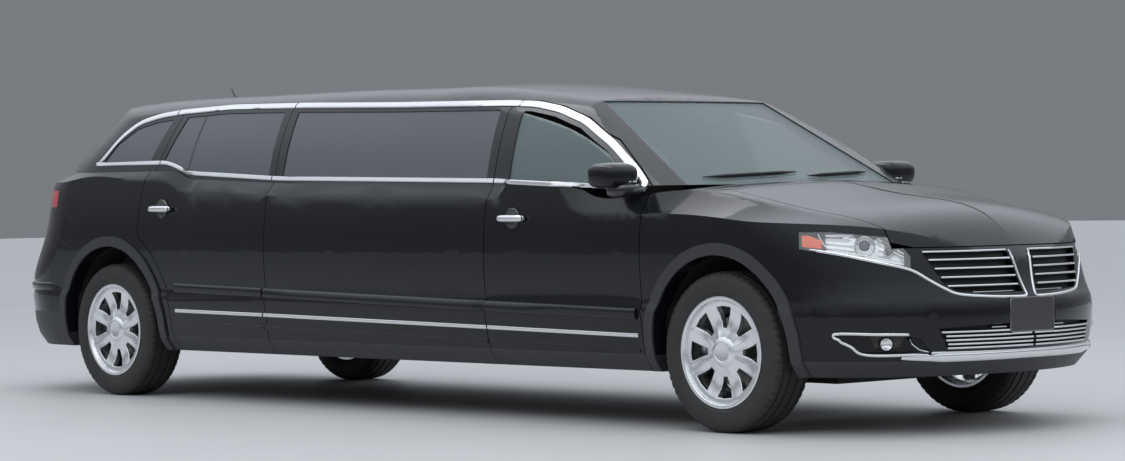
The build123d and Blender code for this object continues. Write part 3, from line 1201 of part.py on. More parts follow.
rear_z = REAR_FLOOR_Z + FLOOR_THICKNESS
with BuildPart() as rear_seat:
    add(cushion((REAR_SEAT_X - BACK_THICKNESS, -REAR_SEAT_WIDTH / 2, rear_z),
                (REAR_SEAT_X + SEAT_LENGTH, REAR_SEAT_WIDTH / 2, REAR_FLOOR_Z + SEAT_HEIGHT)))
    add(cushion((REAR_SEAT_X - BACK_THICKNESS, -REAR_SEAT_WIDTH / 2, rear_z),
                (REAR_SEAT_X, REAR_SEAT_WIDTH / 2, REAR_FLOOR_Z + SEAT_HEIGHT + BACK_HEIGHT)))
export(rear_seat.part, "rear_seat")

with BuildPart() as side_couch:
    add(cushion((COUCH_REAR_X, COUCH_OUTER_Y - COUCH_DEPTH, SEAT_Z), (COUCH_FRONT_X, COUCH_OUTER_Y, SEAT_Z + SEAT_HEIGHT)))
    add(cushion((COUCH_REAR_X, COUCH_OUTER_Y - BACK_THICKNESS, SEAT_Z), (COUCH_FRONT_X, COUCH_OUTER_Y, back_top)))
export(side_couch.part, "side_couch")

PARTITION_X = 420.0
PARTITION_HALF_WIDTH = SILL_HALF_WIDTH - SILL_WIDTH - SEAT_GAP
PARTITION_THICKNESS = 60.0
PARTITION_HEIGHT = 760.0
with BuildPart() as partition:
    add(block((PARTITION_X, -PARTITION_HALF_WIDTH, SEAT_Z), (PARTITION_X + PARTITION_THICKNESS, PARTITION_HALF_WIDTH, SEAT_Z + PARTITION_HEIGHT)))
export(partition.part, "partition")
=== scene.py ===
"""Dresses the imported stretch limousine: paint, glass, bright trim, wheels, lamps, saloon and studio."""

import json
from collections import namedtuple
from math import atan2, cos, pi, radians, sin, sqrt

import bmesh
import bpy
from mathutils import Matrix, Vector
from mathutils.bvhtree import BVHTree

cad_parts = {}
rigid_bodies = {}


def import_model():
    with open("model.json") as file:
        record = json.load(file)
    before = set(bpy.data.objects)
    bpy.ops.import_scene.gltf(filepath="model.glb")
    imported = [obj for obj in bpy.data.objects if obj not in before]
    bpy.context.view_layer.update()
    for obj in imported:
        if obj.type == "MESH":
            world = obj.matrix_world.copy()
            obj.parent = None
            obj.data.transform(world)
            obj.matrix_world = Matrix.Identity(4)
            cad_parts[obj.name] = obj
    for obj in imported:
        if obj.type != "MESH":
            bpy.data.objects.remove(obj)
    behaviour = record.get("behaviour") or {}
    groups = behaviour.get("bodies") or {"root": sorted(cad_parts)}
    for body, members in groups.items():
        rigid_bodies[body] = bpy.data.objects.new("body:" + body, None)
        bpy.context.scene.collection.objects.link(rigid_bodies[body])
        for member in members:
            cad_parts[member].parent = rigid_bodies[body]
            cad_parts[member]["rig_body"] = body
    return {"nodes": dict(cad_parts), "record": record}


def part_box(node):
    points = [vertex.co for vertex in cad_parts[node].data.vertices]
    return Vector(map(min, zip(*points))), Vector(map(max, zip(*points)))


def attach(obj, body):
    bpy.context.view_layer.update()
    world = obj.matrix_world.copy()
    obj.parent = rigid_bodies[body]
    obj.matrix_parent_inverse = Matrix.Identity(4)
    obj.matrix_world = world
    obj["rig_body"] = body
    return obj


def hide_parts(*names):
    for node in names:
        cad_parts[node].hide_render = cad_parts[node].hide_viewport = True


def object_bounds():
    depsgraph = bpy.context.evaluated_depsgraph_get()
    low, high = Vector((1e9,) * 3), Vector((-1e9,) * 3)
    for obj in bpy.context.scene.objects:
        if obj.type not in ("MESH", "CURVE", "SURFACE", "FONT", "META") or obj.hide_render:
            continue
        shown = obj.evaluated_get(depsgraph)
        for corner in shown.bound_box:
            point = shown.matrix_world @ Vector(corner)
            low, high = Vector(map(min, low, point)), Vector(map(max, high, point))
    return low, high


bl_info = {
    "name": "Stretch limousine dresser",
    "version": (1, 0, 0),
    "blender": (4, 5, 0),
    "location": "View3D > Sidebar > Limousine",
    "description": "Builds the looks of a stretch limousine round its packed frame",
    "category": "Object",
}

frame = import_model()
CAD_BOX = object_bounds()
NODES = frame["nodes"]
LOW, HIGH = (Vector(corner) for corner in CAD_BOX)
HALF_LENGTH = (HIGH.x - LOW.x) / 2
BODY_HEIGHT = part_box("roof")[1].z
HALF_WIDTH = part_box("right_centre_panel")[0].y * -1
HANDS = {-1: "right", 1: "left"}
SIDES = tuple(HANDS)
MM = 0.001

# Side lines as shares of half length and height: window top, belt and the bright sill strip
WINDOW_TOP_SHARES = [
    (-0.732, 0.768), (-0.713, 0.807), (-0.690, 0.867), (-0.652, 0.917), (-0.604, 0.937), (-0.544, 0.948),
    (-0.425, 0.957), (-0.267, 0.952), (-0.018, 0.939), (0.230, 0.930), (0.280, 0.924), (0.331, 0.906),
    (0.392, 0.869), (0.459, 0.803), (0.521, 0.724), (0.557, 0.670),
]
BELT_SHARES = [
    (-0.735, 0.767), (-0.545, 0.767), (-0.512, 0.753), (-0.478, 0.731), (-0.246, 0.707), (0.046, 0.696),
    (0.251, 0.688), (0.418, 0.672), (0.570, 0.655),
]
SILL_STRIP_SHARES = [(-0.50, 0.289), (-0.25, 0.283), (0.24, 0.268), (0.54, 0.258)]
LEDGE_SHARES = [(-0.50, 0.364), (0.54, 0.318)]
CREASE_SHARES = [(-0.50, 0.250), (0.54, 0.216)]


class Look(bpy.types.PropertyGroup):
    """Colours and finishes of the whole car."""

    paint: bpy.props.FloatVectorProperty(
        name="Paint", description="Colour of the body under its clear coat", subtype="COLOR", size=3,
        default=(0.0040, 0.0048, 0.0068), min=0, max=1)
    privacy: bpy.props.FloatVectorProperty(
        name="Privacy glass", description="Tint of the saloon's windows", subtype="COLOR", size=3,
        default=(0.060, 0.067, 0.078), min=0, max=1)
    clear: bpy.props.FloatVectorProperty(
        name="Front glass", description="Tint of the windshield and front doors", subtype="COLOR", size=3,
        default=(0.15, 0.20, 0.20), min=0, max=1)
    leather: bpy.props.FloatVectorProperty(
        name="Leather", description="Colour of the seats", subtype="COLOR", size=3,
        default=(0.030, 0.027, 0.026), min=0, max=1)
    lens: bpy.props.FloatVectorProperty(
        name="Tail lens", description="Colour of the tail lamps", subtype="COLOR", size=3,
        default=(0.78, 0.012, 0.012), min=0, max=1)


class Trim(bpy.types.PropertyGroup):
    """Sizes of the bright trim."""

    surround: bpy.props.FloatProperty(
        name="Window surround", description="Width of the bright band over the windows", unit="LENGTH",
        default=26 * MM, min=0)
    belt: bpy.props.FloatProperty(
        name="Belt strip", description="Width of the bright strip under the windows", unit="LENGTH",
        default=18 * MM, min=0)
    sill: bpy.props.FloatProperty(
        name="Sill strip", description="Width of the bright strip along the sill", unit="LENGTH",
        default=20 * MM, min=0)
    height: bpy.props.FloatProperty(
        name="Crown", description="How far the trim stands off the body", unit="LENGTH",
        default=5 * MM, min=0)
    line: bpy.props.FloatProperty(
        name="Nose line", description="Width of the bright lines round lamps and grille", unit="LENGTH",
        default=13 * MM, min=0)


class WheelSizes(bpy.types.PropertyGroup):
    """Sizes of the tyre pattern and wheel face."""

    blocks: bpy.props.IntProperty(
        name="Tread blocks", description="Blocks round one shoulder of a tyre", default=60, min=8)
    groove: bpy.props.FloatProperty(
        name="Groove", description="Depth of the tread grooves", unit="LENGTH", default=7 * MM, min=0)
    spokes: bpy.props.IntProperty(name="Spokes", description="Spokes of the wheel face", default=8, min=3)
    cap: bpy.props.FloatProperty(
        name="Cap radius", description="Radius of the centre cap", unit="LENGTH", default=72 * MM, min=0)


# Node maths and materials
class Value:
    """A shader socket that adds, multiplies and compares like a number."""

    def __init__(self, tree, socket):
        self.tree = tree
        self.socket = socket

    def math(self, operation, *others):
        node = self.tree.nodes.new("ShaderNodeMath")
        node.operation = operation
        for place, item in enumerate((self, *others)):
            if isinstance(item, Value):
                self.tree.links.new(item.socket, node.inputs[place])
            else:
                node.inputs[place].default_value = item
        return Value(self.tree, node.outputs[0])

    def __add__(self, other):
        return self.math("ADD", other)

    def __sub__(self, other):
        return self.math("SUBTRACT", other)

    def __mul__(self, other):
        return self.math("MULTIPLY", other)

    def over(self, limit):
        return self.math("GREATER_THAN", limit)


class Material:
    """One procedural material and the methods that add its nodes."""

    def __init__(self, name, **sockets):
        self.data = bpy.data.materials.new(name)
        self.data.use_nodes = True
        self.tree = self.data.node_tree
        self.shader = self.tree.nodes["Principled BSDF"]
        for key, value in sockets.items():
            self.set(key.replace("_", " "), value)
        self.place = self.node("ShaderNodeTexCoord").outputs["Object"]

    def node(self, kind, links=None, **settings):
        """Add a node; links fill its inputs, and settings set its attributes or plain inputs."""
        made = self.tree.nodes.new(kind)
        for key, value in settings.items():
            if hasattr(made, key):
                setattr(made, key, value)
            else:
                made.inputs[key.replace("_", " ")].default_value = value
        for key, source in (links or {}).items():
            self.tree.links.new(source.socket if isinstance(source, Value) else source, made.inputs[key])
        return made

    def set(self, key, value):
        if isinstance(value, (tuple, list)) and len(value) == 3:
            value = (*value, 1)
        self.shader.inputs[key].default_value = value

    def drive(self, key, source):
        self.tree.links.new(source.socket if isinstance(source, Value) else source, self.shader.inputs[key])

    def noise(self, scale, detail=3.0, stretch=(1, 1, 1)):
        """Noise over the object, stretched along the axes."""
        mapping = self.node("ShaderNodeMapping", {"Vector": self.place})
        mapping.inputs["Scale"].default_value = stretch
        made = self.node("ShaderNodeTexNoise", {"Vector": mapping.outputs[0]}, Scale=scale, Detail=detail)
        return Value(self.tree, made.outputs["Fac"])

    def cells(self, scale, feature="F1"):
        made = self.node("ShaderNodeTexVoronoi", {"Vector": self.place}, Scale=scale, feature=feature)
        return Value(self.tree, made.outputs["Distance"])

    def along(self, axis):
        """Object coordinate along one axis."""
        parts = self.node("ShaderNodeSeparateXYZ", {"Vector": self.place})
        return Value(self.tree, parts.outputs[axis])

    def blend(self, factor, first, second):
        """Colour between two colours."""
        ramp = self.node("ShaderNodeMix", {0: factor}, data_type="RGBA")
        ramp.inputs[6].default_value = (*first, 1)
        ramp.inputs[7].default_value = (*second, 1)
        return ramp.outputs[2]

    def bump(self, height, strength, distance=MM):
        made = self.node("ShaderNodeBump", {"Height": height}, Strength=strength, Distance=distance)
        self.drive("Normal", made.outputs[0])


def rough(material, middle, spread, scale=6.0):
    """Roughness that varies a little over the surface."""
    material.drive("Roughness", material.noise(scale) * (2 * spread) + (middle - spread))


MATERIALS = {}


def shade(color, factor):
    return tuple(channel * factor for channel in color)


def make_materials(look):
    """Every material of the car, by its short name."""
    paint = Material("paint", Coat_Weight=0.8, Coat_Roughness=0.025, Coat_IOR=1.36, Specular_IOR_Level=0.15)
    paint.drive("Base Color", paint.blend(paint.noise(9.0), tuple(look.paint), shade(look.paint, 1.35)))
    rough(paint, 0.22, 0.03)
    paint.bump(paint.noise(420.0, 1.0), 0.012)
    MATERIALS["paint"] = paint.data

    gloss = Material("gloss_black", Coat_Weight=0.8, Coat_Roughness=0.05)
    gloss.drive("Base Color", gloss.blend(gloss.noise(14.0), (0.006, 0.006, 0.007), (0.010, 0.010, 0.011)))
    rough(gloss, 0.20, 0.04)
    MATERIALS["gloss_black"] = gloss.data

    chrome = Material("chrome", Metallic=1.0)
    chrome.drive("Base Color", chrome.blend(chrome.noise(30.0), (0.80, 0.81, 0.83), (0.88, 0.89, 0.90)))
    rough(chrome, 0.17, 0.03, 12.0)
    MATERIALS["chrome"] = chrome.data

    alloy = Material("alloy", Metallic=1.0)
    alloy.drive("Base Color", alloy.blend(alloy.noise(24.0), (0.84, 0.85, 0.87), (0.93, 0.94, 0.95)))
    rough(alloy, 0.27, 0.05, 18.0)
    alloy.bump(alloy.noise(260.0, 1.0), 0.008)
    MATERIALS["alloy"] = alloy.data

    for key, tint, alpha in (("privacy_glass", look.privacy, 0.90), ("clear_glass", look.clear, 0.42)):
        glass = Material(key, IOR=1.5, Specular_IOR_Level=0.7, Alpha=alpha)
        glass.drive("Base Color", glass.blend(glass.noise(3.0), tuple(tint), shade(tint, 1.12)))
        rough(glass, 0.035, 0.01)
        MATERIALS[key] = glass.data

    lens = Material("lamp_lens", IOR=1.5, Alpha=0.16)
    lens.drive("Base Color", lens.blend(lens.noise(5.0), (0.82, 0.86, 0.88), (0.90, 0.92, 0.94)))
    rough(lens, 0.03, 0.01)
    MATERIALS["lamp_lens"] = lens.data

    red = Material("tail_lens", Coat_Weight=1.0, Coat_Roughness=0.04)
    bars = red.node("ShaderNodeTexWave", {"Vector": red.place}, Scale=26.0, bands_direction="Z")
    bar_mask = Value(red.tree, bars.outputs["Fac"])
    red.drive("Base Color", red.blend(bar_mask, tuple(look.lens), shade(look.lens, 0.45)))
    rough(red, 0.16, 0.04)
    MATERIALS["tail_lens"] = red.data

    amber = Material("amber_lens", Coat_Weight=1.0, Coat_Roughness=0.05)
    amber.drive("Base Color", amber.blend(amber.noise(60.0), (0.62, 0.070, 0.008), (0.74, 0.110, 0.014)))
    rough(amber, 0.2, 0.05)
    MATERIALS["amber_lens"] = amber.data

    for key, dark, light, middle, grain in (
            ("satin_black", (0.020, 0.021, 0.023), (0.034, 0.035, 0.038), 0.46, 900.0),
            ("black_plastic", (0.007, 0.007, 0.008), (0.014, 0.014, 0.015), 0.58, 1400.0),
            ("underbody", (0.012, 0.012, 0.012), (0.028, 0.026, 0.024), 0.70, 60.0)):
        plastic = Material(key)
        plastic.drive("Base Color", plastic.blend(plastic.noise(40.0), dark, light))
        rough(plastic, middle, 0.06, 20.0)
        plastic.bump(plastic.noise(grain, 2.0), 0.12, 0.4 * MM)
        MATERIALS[key] = plastic.data

    rubber = Material("rubber")
    rubber.drive("Base Color", rubber.blend(rubber.noise(18.0), (0.016, 0.016, 0.017), (0.032, 0.031, 0.030)))
    rough(rubber, 0.66, 0.10, 12.0)
    rubber.bump(rubber.noise(700.0, 2.0), 0.15, 0.5 * MM)
    MATERIALS["rubber"] = rubber.data

    metal = Material("dull_steel", Metallic=0.9)
    metal.drive("Base Color", metal.blend(metal.noise(30.0), (0.20, 0.19, 0.18), (0.34, 0.33, 0.32)))
    rough(metal, 0.42, 0.08, 25.0)
    metal.bump(metal.noise(220.0, 2.0), 0.1)
    MATERIALS["dull_steel"] = metal.data

    leather = Material("leather", Specular_IOR_Level=0.4)
    hide = tuple(look.leather)
    leather.drive("Base Color", leather.blend(leather.noise(12.0), hide, shade(hide, 1.6)))
    rough(leather, 0.46, 0.07, 30.0)
    leather.bump(leather.cells(420.0), 0.25, 0.6 * MM)
    MATERIALS["leather"] = leather.data

    floor = Material("studio_floor")
    floor.drive("Base Color", floor.blend(floor.noise(0.6), (0.41, 0.415, 0.42), (0.45, 0.455, 0.46)))
    rough(floor, 0.55, 0.05, 1.5)
    MATERIALS["studio_floor"] = floor.data


# Surface lookups
def tree_of(names):
    """Search tree over the triangles of some CAD nodes."""
    points = []
    faces = []
    for name in names:
        mesh = NODES[name].data
        start = len(points)
        points += [vertex.co.copy() for vertex in mesh.vertices]
        faces += [[start + corner for corner in polygon.vertices] for polygon in mesh.polygons]
    return BVHTree.FromPolygons(points, faces)


SIDE_PANELS = ("front_door", "rear_door", "centre_panel", "quarter", "front_fender")
END_PANELS = ("roof", "hood", "liftgate", "front_bumper", "rear_bumper")
FACE_NODES = ("cowl", "tail_lamps", "liftgate_lamp", "grille", "lower_grille")
SKIN_ENDINGS = (*SIDE_PANELS, "headlamp")
SKIN_NODES = [name for name in NODES if name in END_PANELS + FACE_NODES or name.endswith(SKIN_ENDINGS)]
SKIN = tree_of(SKIN_NODES)
REACH = 1.5
MID_DEPTH = 0.45
UP = Vector((0, 0, 1))


def side_point(x, z, side):
    """Point and outward normal of the body side at x, z."""
    hit, normal, _, _ = SKIN.ray_cast(Vector((x, side * REACH, z)), Vector((0, -side, 0)), REACH - MID_DEPTH)
    if hit is None:
        hit, normal, _, _ = SKIN.find_nearest(Vector((x, side * HALF_WIDTH, z)))
        hit = Vector((x, hit.y, z))
    return hit, normal if normal.y * side > 0 else -normal


def smooth_path(points, step, closed=False):
    """Points at even spacing on a smooth curve through the given ones."""
    points = [Vector(point) for point in points]
    count = len(points)
    made = []
    for place in range(count if closed else count - 1):
        if closed:
            before, start, end, after = (points[(place + shift) % count] for shift in (-1, 0, 1, 2))
        else:
            before = points[max(place - 1, 0)]
            start, end = points[place], points[place + 1]
            after = points[min(place + 2, count - 1)]
        pieces = max(1, round((end - start).length / step))
        for part in range(pieces):
            t = part / pieces
            slope = end - before
            bend = 2 * before - 5 * start + 4 * end - after
            twist = 3 * start - before - 3 * end + after
            made.append(0.5 * (2 * start + slope * t + bend * t * t + twist * t * t * t))
    if not closed:
        made.append(points[-1])
    return made


LINE_ROUNDING = 45 * MM


def straight_line(shares, x):
    """Height at x of the straight runs between the points of a side line."""
    scaled = [(along * HALF_LENGTH, up * BODY_HEIGHT) for along, up in shares]
    for (rear, low), (front, high) in zip(scaled, scaled[1:]):
        if x <= front:
            return low + (x - rear) / (front - rear) * (high - low)
    return scaled[-1][1]


def share_line(shares, x):
    """Height at x of a side line with its corners rounded off."""
    room = min(LINE_ROUNDING, x - shares[0][0] * HALF_LENGTH, shares[-1][0] * HALF_LENGTH - x)
    places = [x + max(room, 0) * part / 3 for part in range(-3, 4)]
    return sum(straight_line(shares, place) for place in places) / len(places)


# Piece building
def finish_piece(name, bm, material, body, slot, angle=35.0, weighted=True):
    """Turn a bmesh into a finished piece that rides on a body."""
    bmesh.ops.recalc_face_normals(bm, faces=bm.faces)
    for face in bm.faces:
        face.smooth = True
    for edge in bm.edges:
        edge.smooth = not edge.is_manifold or edge.calc_face_angle(0) < radians(angle)
    mesh = bpy.data.meshes.new(name)
    bm.to_mesh(mesh)
    bm.free()
    piece = bpy.data.objects.new(name, mesh)
    bpy.context.scene.collection.objects.link(piece)
    materials = material if isinstance(material, (list, tuple)) else [material]
    for key in materials:
        mesh.materials.append(MATERIALS[key])
    if weighted:
        modifier = piece.modifiers.new("Even shading", "WEIGHTED_NORMAL")
        modifier.keep_sharp = True
    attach(piece, body)
    return piece


def body_of_node(node):
    return NODES[node]["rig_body"]


def slot_of_node(node):
    for row in frame["record"]["subparts"]:
        if row["node"] == node:
            return row["material_slot"]
    raise ValueError(f"no slot for {node}")


def node_mesh(node):
    """Merged copy of a CAD node's mesh."""
    bm = bmesh.new()
    bm.from_mesh(NODES[node].data)
    bmesh.ops.remove_doubles(bm, verts=bm.verts, dist=2e-5)
    bmesh.ops.dissolve_degenerate(bm, dist=1e-5, edges=bm.edges)
    return bm


SHARP_ANGLE = 32.0


def stand_in(node, bm, material):
    """Finish a mesh as the piece that stands for a CAD node."""
    body = body_of_node(node)
    piece = finish_piece(f"{node}_skin", bm, material, body, slot_of_node(node), SHARP_ANGLE)
    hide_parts(node)


def dress_node(node, material):
    """Smooth copy of a CAD node that stands for it."""
    stand_in(node, node_mesh(node), material)


# Heights under which the panels are dark cladding
SIDE_CLADDING_TOP = 0.345
CLADDING_TOPS = {"rear_bumper": 0.46, "front_bumper": 0.338}
CLADDING_TOPS.update((panel, SIDE_CLADDING_TOP) for panel in SIDE_PANELS)


def dress_split(node, upper, lower, height):
    """Smooth copy of a node with another material under a height."""
    if height is None:
        dress_node(node, upper)
        return
    bm = node_mesh(node)
    geometry = bm.verts[:] + bm.edges[:] + bm.faces[:]
    bmesh.ops.bisect_plane(bm, geom=geometry, plane_co=(0, 0, height), plane_no=UP)
    for face in bm.faces:
        face.material_index = 1 if face.calc_center_median().z < height else 0
    stand_in(node, bm, [upper, lower])


def grid_mesh(rows, closed=False):
    """Quad sheet through rows of points; a closed one has its meeting edges merged."""
    across = len(rows[0])
    bm = bmesh.new()
    bmesh.ops.create_grid(bm, x_segments=across - 1, y_segments=len(rows) - 1, size=1)
    bm.verts.ensure_lookup_table()
    order = sorted(bm.verts, key=lambda vertex: (round(vertex.co.y, 5), round(vertex.co.x, 5)))
    for vertex, point in zip(order, (point for row in rows for point in row)):
        vertex.co = point
    if closed:
        bmesh.ops.remove_doubles(bm, verts=bm.verts, dist=1e-6)
    return bm


def band(name, rows, thickness, material, body, slot):
    """Closed strip from rows of points across it, thickened towards the body."""
    bm = grid_mesh(rows)
    bmesh.ops.recalc_face_normals(bm, faces=bm.faces)
    bmesh.ops.solidify(bm, geom=bm.faces[:], thickness=thickness)
    finish_piece(name, bm, material, body, slot)


# Half section of a moulding, across and off the surface as shares of its width and height
SECTION_SHARES = [
    (-0.5, -0.6), (-0.5, 0.25), (-0.38, 0.75), (-0.15, 1.0), (0.15, 1.0), (0.38, 0.75), (0.5, 0.25),
    (0.5, -0.6), (-0.5, -0.6),
]
TIP_SHARE = 0.25


def close_holes(bm, sides):
    """Fill the open ends of a tube."""
    bmesh.ops.holes_fill(bm, edges=[edge for edge in bm.edges if edge.is_boundary], sides=sides)


def moulding(name, path, width, height, material, body, slot, closed=False, taper=0.0):
    """Rounded strip along points with outward normals; taper is the share of its length that narrows."""
    count = len(path)
    rows = []
    for place, (point, normal) in enumerate(path):
        if closed:
            ahead, back = path[(place + 1) % count][0], path[place - 1][0]
        else:
            ahead, back = path[min(place + 1, count - 1)][0], path[max(place - 1, 0)][0]
        across = (ahead - back).normalized().cross(normal).normalized()
        end = min(place, count - 1 - place) / (count - 1)
        full = min(1, TIP_SHARE + (1 - TIP_SHARE) * end / taper) if taper else 1
        rows.append([point + across * (width * full * wide) + normal * (height * full * tall)
                     for wide, tall in SECTION_SHARES])
    if closed:
        rows.append(rows[0])
    bm = grid_mesh(rows, closed=True)
    if not closed:
        close_holes(bm, len(SECTION_SHARES))
    finish_piece(name, bm, material, body, slot, angle=50.0)


def bright_line(name, path, width, height, **shape):
    """Chrome moulding that stays with the body."""
    moulding(name, path, width, height, "chrome", "body", "chrome_bars", **shape)


def even_normals(path):
    """Average each normal with its neighbours along a path."""
    evened = []
    for place, (point, _) in enumerate(path):
        near = path[max(0, place - 2):place + 3]
        evened.append((point, sum((normal for _, normal in near), Vector()).normalized()))
    return evened


def lathe(profile, steps, axis_point, axis, reference):
    """Closed surface of revolution: profile holds radius and offset along the axis."""
    bm = bmesh.new()
    ring = []
    for radius, offset in profile:
        ring.append(bm.verts.new(axis_point + reference * radius + axis * offset))
    edges = [bm.edges.new((ring[place], ring[(place + 1) % len(ring)])) for place in range(len(ring))]
    bmesh.ops.spin(
        bm, geom=ring + edges, cent=axis_point, axis=axis, angle=2 * pi, steps=steps, use_merge=True)
    bmesh.ops.remove_doubles(bm, verts=bm.verts, dist=1e-5)
    return bm


class Builder(bpy.types.Operator):
    """Shared start of the piece operators."""

    bl_idname = "limousine.builder"
    bl_label = "Limousine piece"

    @property
    def look(self):
        return bpy.context.scene.limousine_look

    @property
    def trim(self):
        return bpy.context.scene.limousine_trim

    @property
    def wheels(self):
        return bpy.context.scene.limousine_wheels


PAINTED = [name for name in NODES if name in END_PANELS or name.endswith(SIDE_PANELS)]


class BodyPanels(Builder):
    """Painted panels with smooth clear coat."""

    bl_idname = "limousine.panels"
    bl_label = "Painted panels"

    def execute(self, context):
        for node in PAINTED:
            panel = node.removeprefix("right_").removeprefix("left_")
            dress_split(node, "paint", "satin_black", CLADDING_TOPS.get(panel))
        dress_node("cowl", "black_plastic")
        dress_node("arch_flares", "satin_black")
        dress_node("arch_liners", "underbody")
        return {"FINISHED"}


class Glass(Builder):
    """Windshield, side windows and backlight."""

    bl_idname = "limousine.glass"
    bl_label = "Glass"

    def execute(self, context):
        for node in [name for name in NODES if "glass" in name or name == "windshield"]:
            clear = "front_door" in node or node == "windshield"
            dress_node(node, "clear_glass" if clear else "privacy_glass")
        return {"FINISHED"}


# Side trim, split where the doors open
def door_seams(hand):
    """Places along the body of the seams behind and in front of the fixed middle part."""
    centre_low, centre_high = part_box("centre_glass")
    rear_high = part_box(f"{hand}_rear_door_glass")[1]
    front_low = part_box(f"{hand}_front_door_glass")[0]
    return (rear_high.x + centre_low.x) / 2, (front_low.x + centre_high.x) / 2


def side_runs(side):
    """Body, rear x and front x of each run of window trim."""
    hand = HANDS[side]
    seam_rear, seam_front = door_seams(hand)
    seam_quarter = (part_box(f"{hand}_rear_door_glass")[0].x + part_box("quarter_glass")[1].x) / 2
    gap = 4 * MM
    return [
        ("body", WINDOW_TOP_SHARES[0][0] * HALF_LENGTH, seam_quarter - gap),
        (f"{hand}_rear_door", seam_quarter + gap, seam_rear - gap),
        ("body", seam_rear + gap, seam_front - gap),
        (f"{hand}_front_door", seam_front + gap, WINDOW_TOP_SHARES[-1][0] * HALF_LENGTH - gap),
    ]


# Sections of the trim over and under the windows: share of the width, share of the crown
BAND_SECTION_SHARES = [(0.0, 0.25), (0.12, 0.8), (0.5, 1.0), (0.88, 0.8), (1.0, 0.25)]
STRIP_SECTION_SHARES = [(0.0, 0.25), (0.2, 0.9), (0.8, 0.9), (1.0, 0.25)]


class WindowTrim(Builder):
    """Bright band over the windows and strip along the belt."""

    bl_idname = "limousine.window_trim"
    bl_label = "Window trim"

    def execute(self, context):
        trim = self.trim
        for side in SIDES:
            for place, (body, low_x, high_x) in enumerate(side_runs(side)):
                count = max(4, round((high_x - low_x) / (30 * MM)))
                stations = [low_x + (high_x - low_x) * step / count for step in range(count + 1)]
                band_rows = []
                belt_rows = []
                for x in stations:
                    belt = share_line(BELT_SHARES, x)
                    top = share_line(WINDOW_TOP_SHARES, x) - 2 * MM
                    foot = max(top - trim.surround, min(belt + trim.belt, top - 3 * MM))
                    band_rows.append(self.section(x, foot, top - foot, BAND_SECTION_SHARES, side))
                    belt_rows.append(self.section(x, belt, trim.belt, STRIP_SECTION_SHARES, side))
                name = HANDS[side]
                band(f"{name}_window_band_{place}", band_rows, 3 * MM, "chrome", body, "chrome_bars")
                band(f"{name}_belt_strip_{place}", belt_rows, 3 * MM, "chrome", body, "chrome_bars")
        return {"FINISHED"}

    def section(self, x, foot, width, shares, side):
        """Points across a strip at x, from its foot up."""
        row = []
        for part, rise in shares:
            point, normal = side_point(x, foot + width * part, side)
            row.append(point + normal * (rise * self.trim.height))
        return row


# How far the sill strips start in front of the rear door's end, where the wheel arch cuts it
ARCH_ROOM = 0.34


class SillTrim(Builder):
    """Bright strip along the sill, split at the doors."""

    bl_idname = "limousine.sill_trim"
    bl_label = "Sill trim"

    def execute(self, context):
        gap = 6 * MM
        for side in SIDES:
            hand = HANDS[side]
            rear_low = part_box(f"{hand}_rear_door")[0]
            front_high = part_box(f"{hand}_front_door")[1]
            seam_rear, seam_front = door_seams(hand)
            runs = [
                (f"{hand}_rear_door", rear_low.x + ARCH_ROOM, seam_rear - gap),
                ("body", seam_rear + gap, seam_front - gap),
                (f"{hand}_front_door", seam_front + gap, front_high.x - 30 * MM),
            ]
            for place, (body, low_x, high_x) in enumerate(runs):
                count = round((high_x - low_x) / (60 * MM))
                stations = [low_x + (high_x - low_x) * step / count for step in range(count + 1)]
                for line, shares, width, height, material in (
                        ("sill_strip", SILL_STRIP_SHARES, self.trim.sill, self.trim.height, "chrome"),
                        ("ledge", LEDGE_SHARES, 52 * MM, 14 * MM, "paint"),
                        ("crease", CREASE_SHARES, 16 * MM, 4 * MM, "paint")):
                    path = even_normals([side_point(x, share_line(shares, x), side) for x in stations])
                    slot = "chrome_bars" if material == "chrome" else "paint"
                    moulding(f"{hand}_{line}_{place}", path, width, height, material, body, slot)
        return {"FINISHED"}


# Nose lines as front-view shares of half width and height, for the right-hand side
WING_LINE_SHARES = [
    (0.930, 0.4985), (0.858, 0.4855), (0.746, 0.4635), (0.616, 0.4405), (0.545, 0.4130), (0.482, 0.3895),
    (0.420, 0.3740), (0.260, 0.3660), (0.090, 0.3630), (0.036, 0.3650), (0.034, 0.3780), (0.052, 0.4300),
    (0.071, 0.4900),
]
FOG_LINE_SHARES = [
    (0.905, 0.2735), (0.780, 0.2730), (0.700, 0.2720), (0.648, 0.2690), (0.610, 0.2500), (0.570, 0.2190),
    (0.640, 0.2180), (0.800, 0.2190), (0.852, 0.2420),
]
CHIN_LINE_SHARES = [(0.572, 0.2215), (0.400, 0.2205), (0.200, 0.2200), (0.0, 0.2200)]
LIP_SHARES = [(0.690, 0.2090), (0.560, 0.2080), (0.350, 0.2080), (0.0, 0.2090)]
NOSE = tree_of([
    "front_bumper", "right_front_fender", "left_front_fender", "right_headlamp", "left_headlamp", "hood",
])
GRILLE_TREES = {node: tree_of([node]) for node in ("grille", "lower_grille")}


def front_hit(tree, y, z):
    """Foremost point and normal of a surface at y, z, seen from the front."""
    hit, normal, _, _ = tree.ray_cast(Vector((HALF_LENGTH + 1, y, z)), Vector((-1, 0, 0)), HALF_LENGTH)
    if hit is None:
        return None
    return hit, normal if normal.x > 0 else -normal


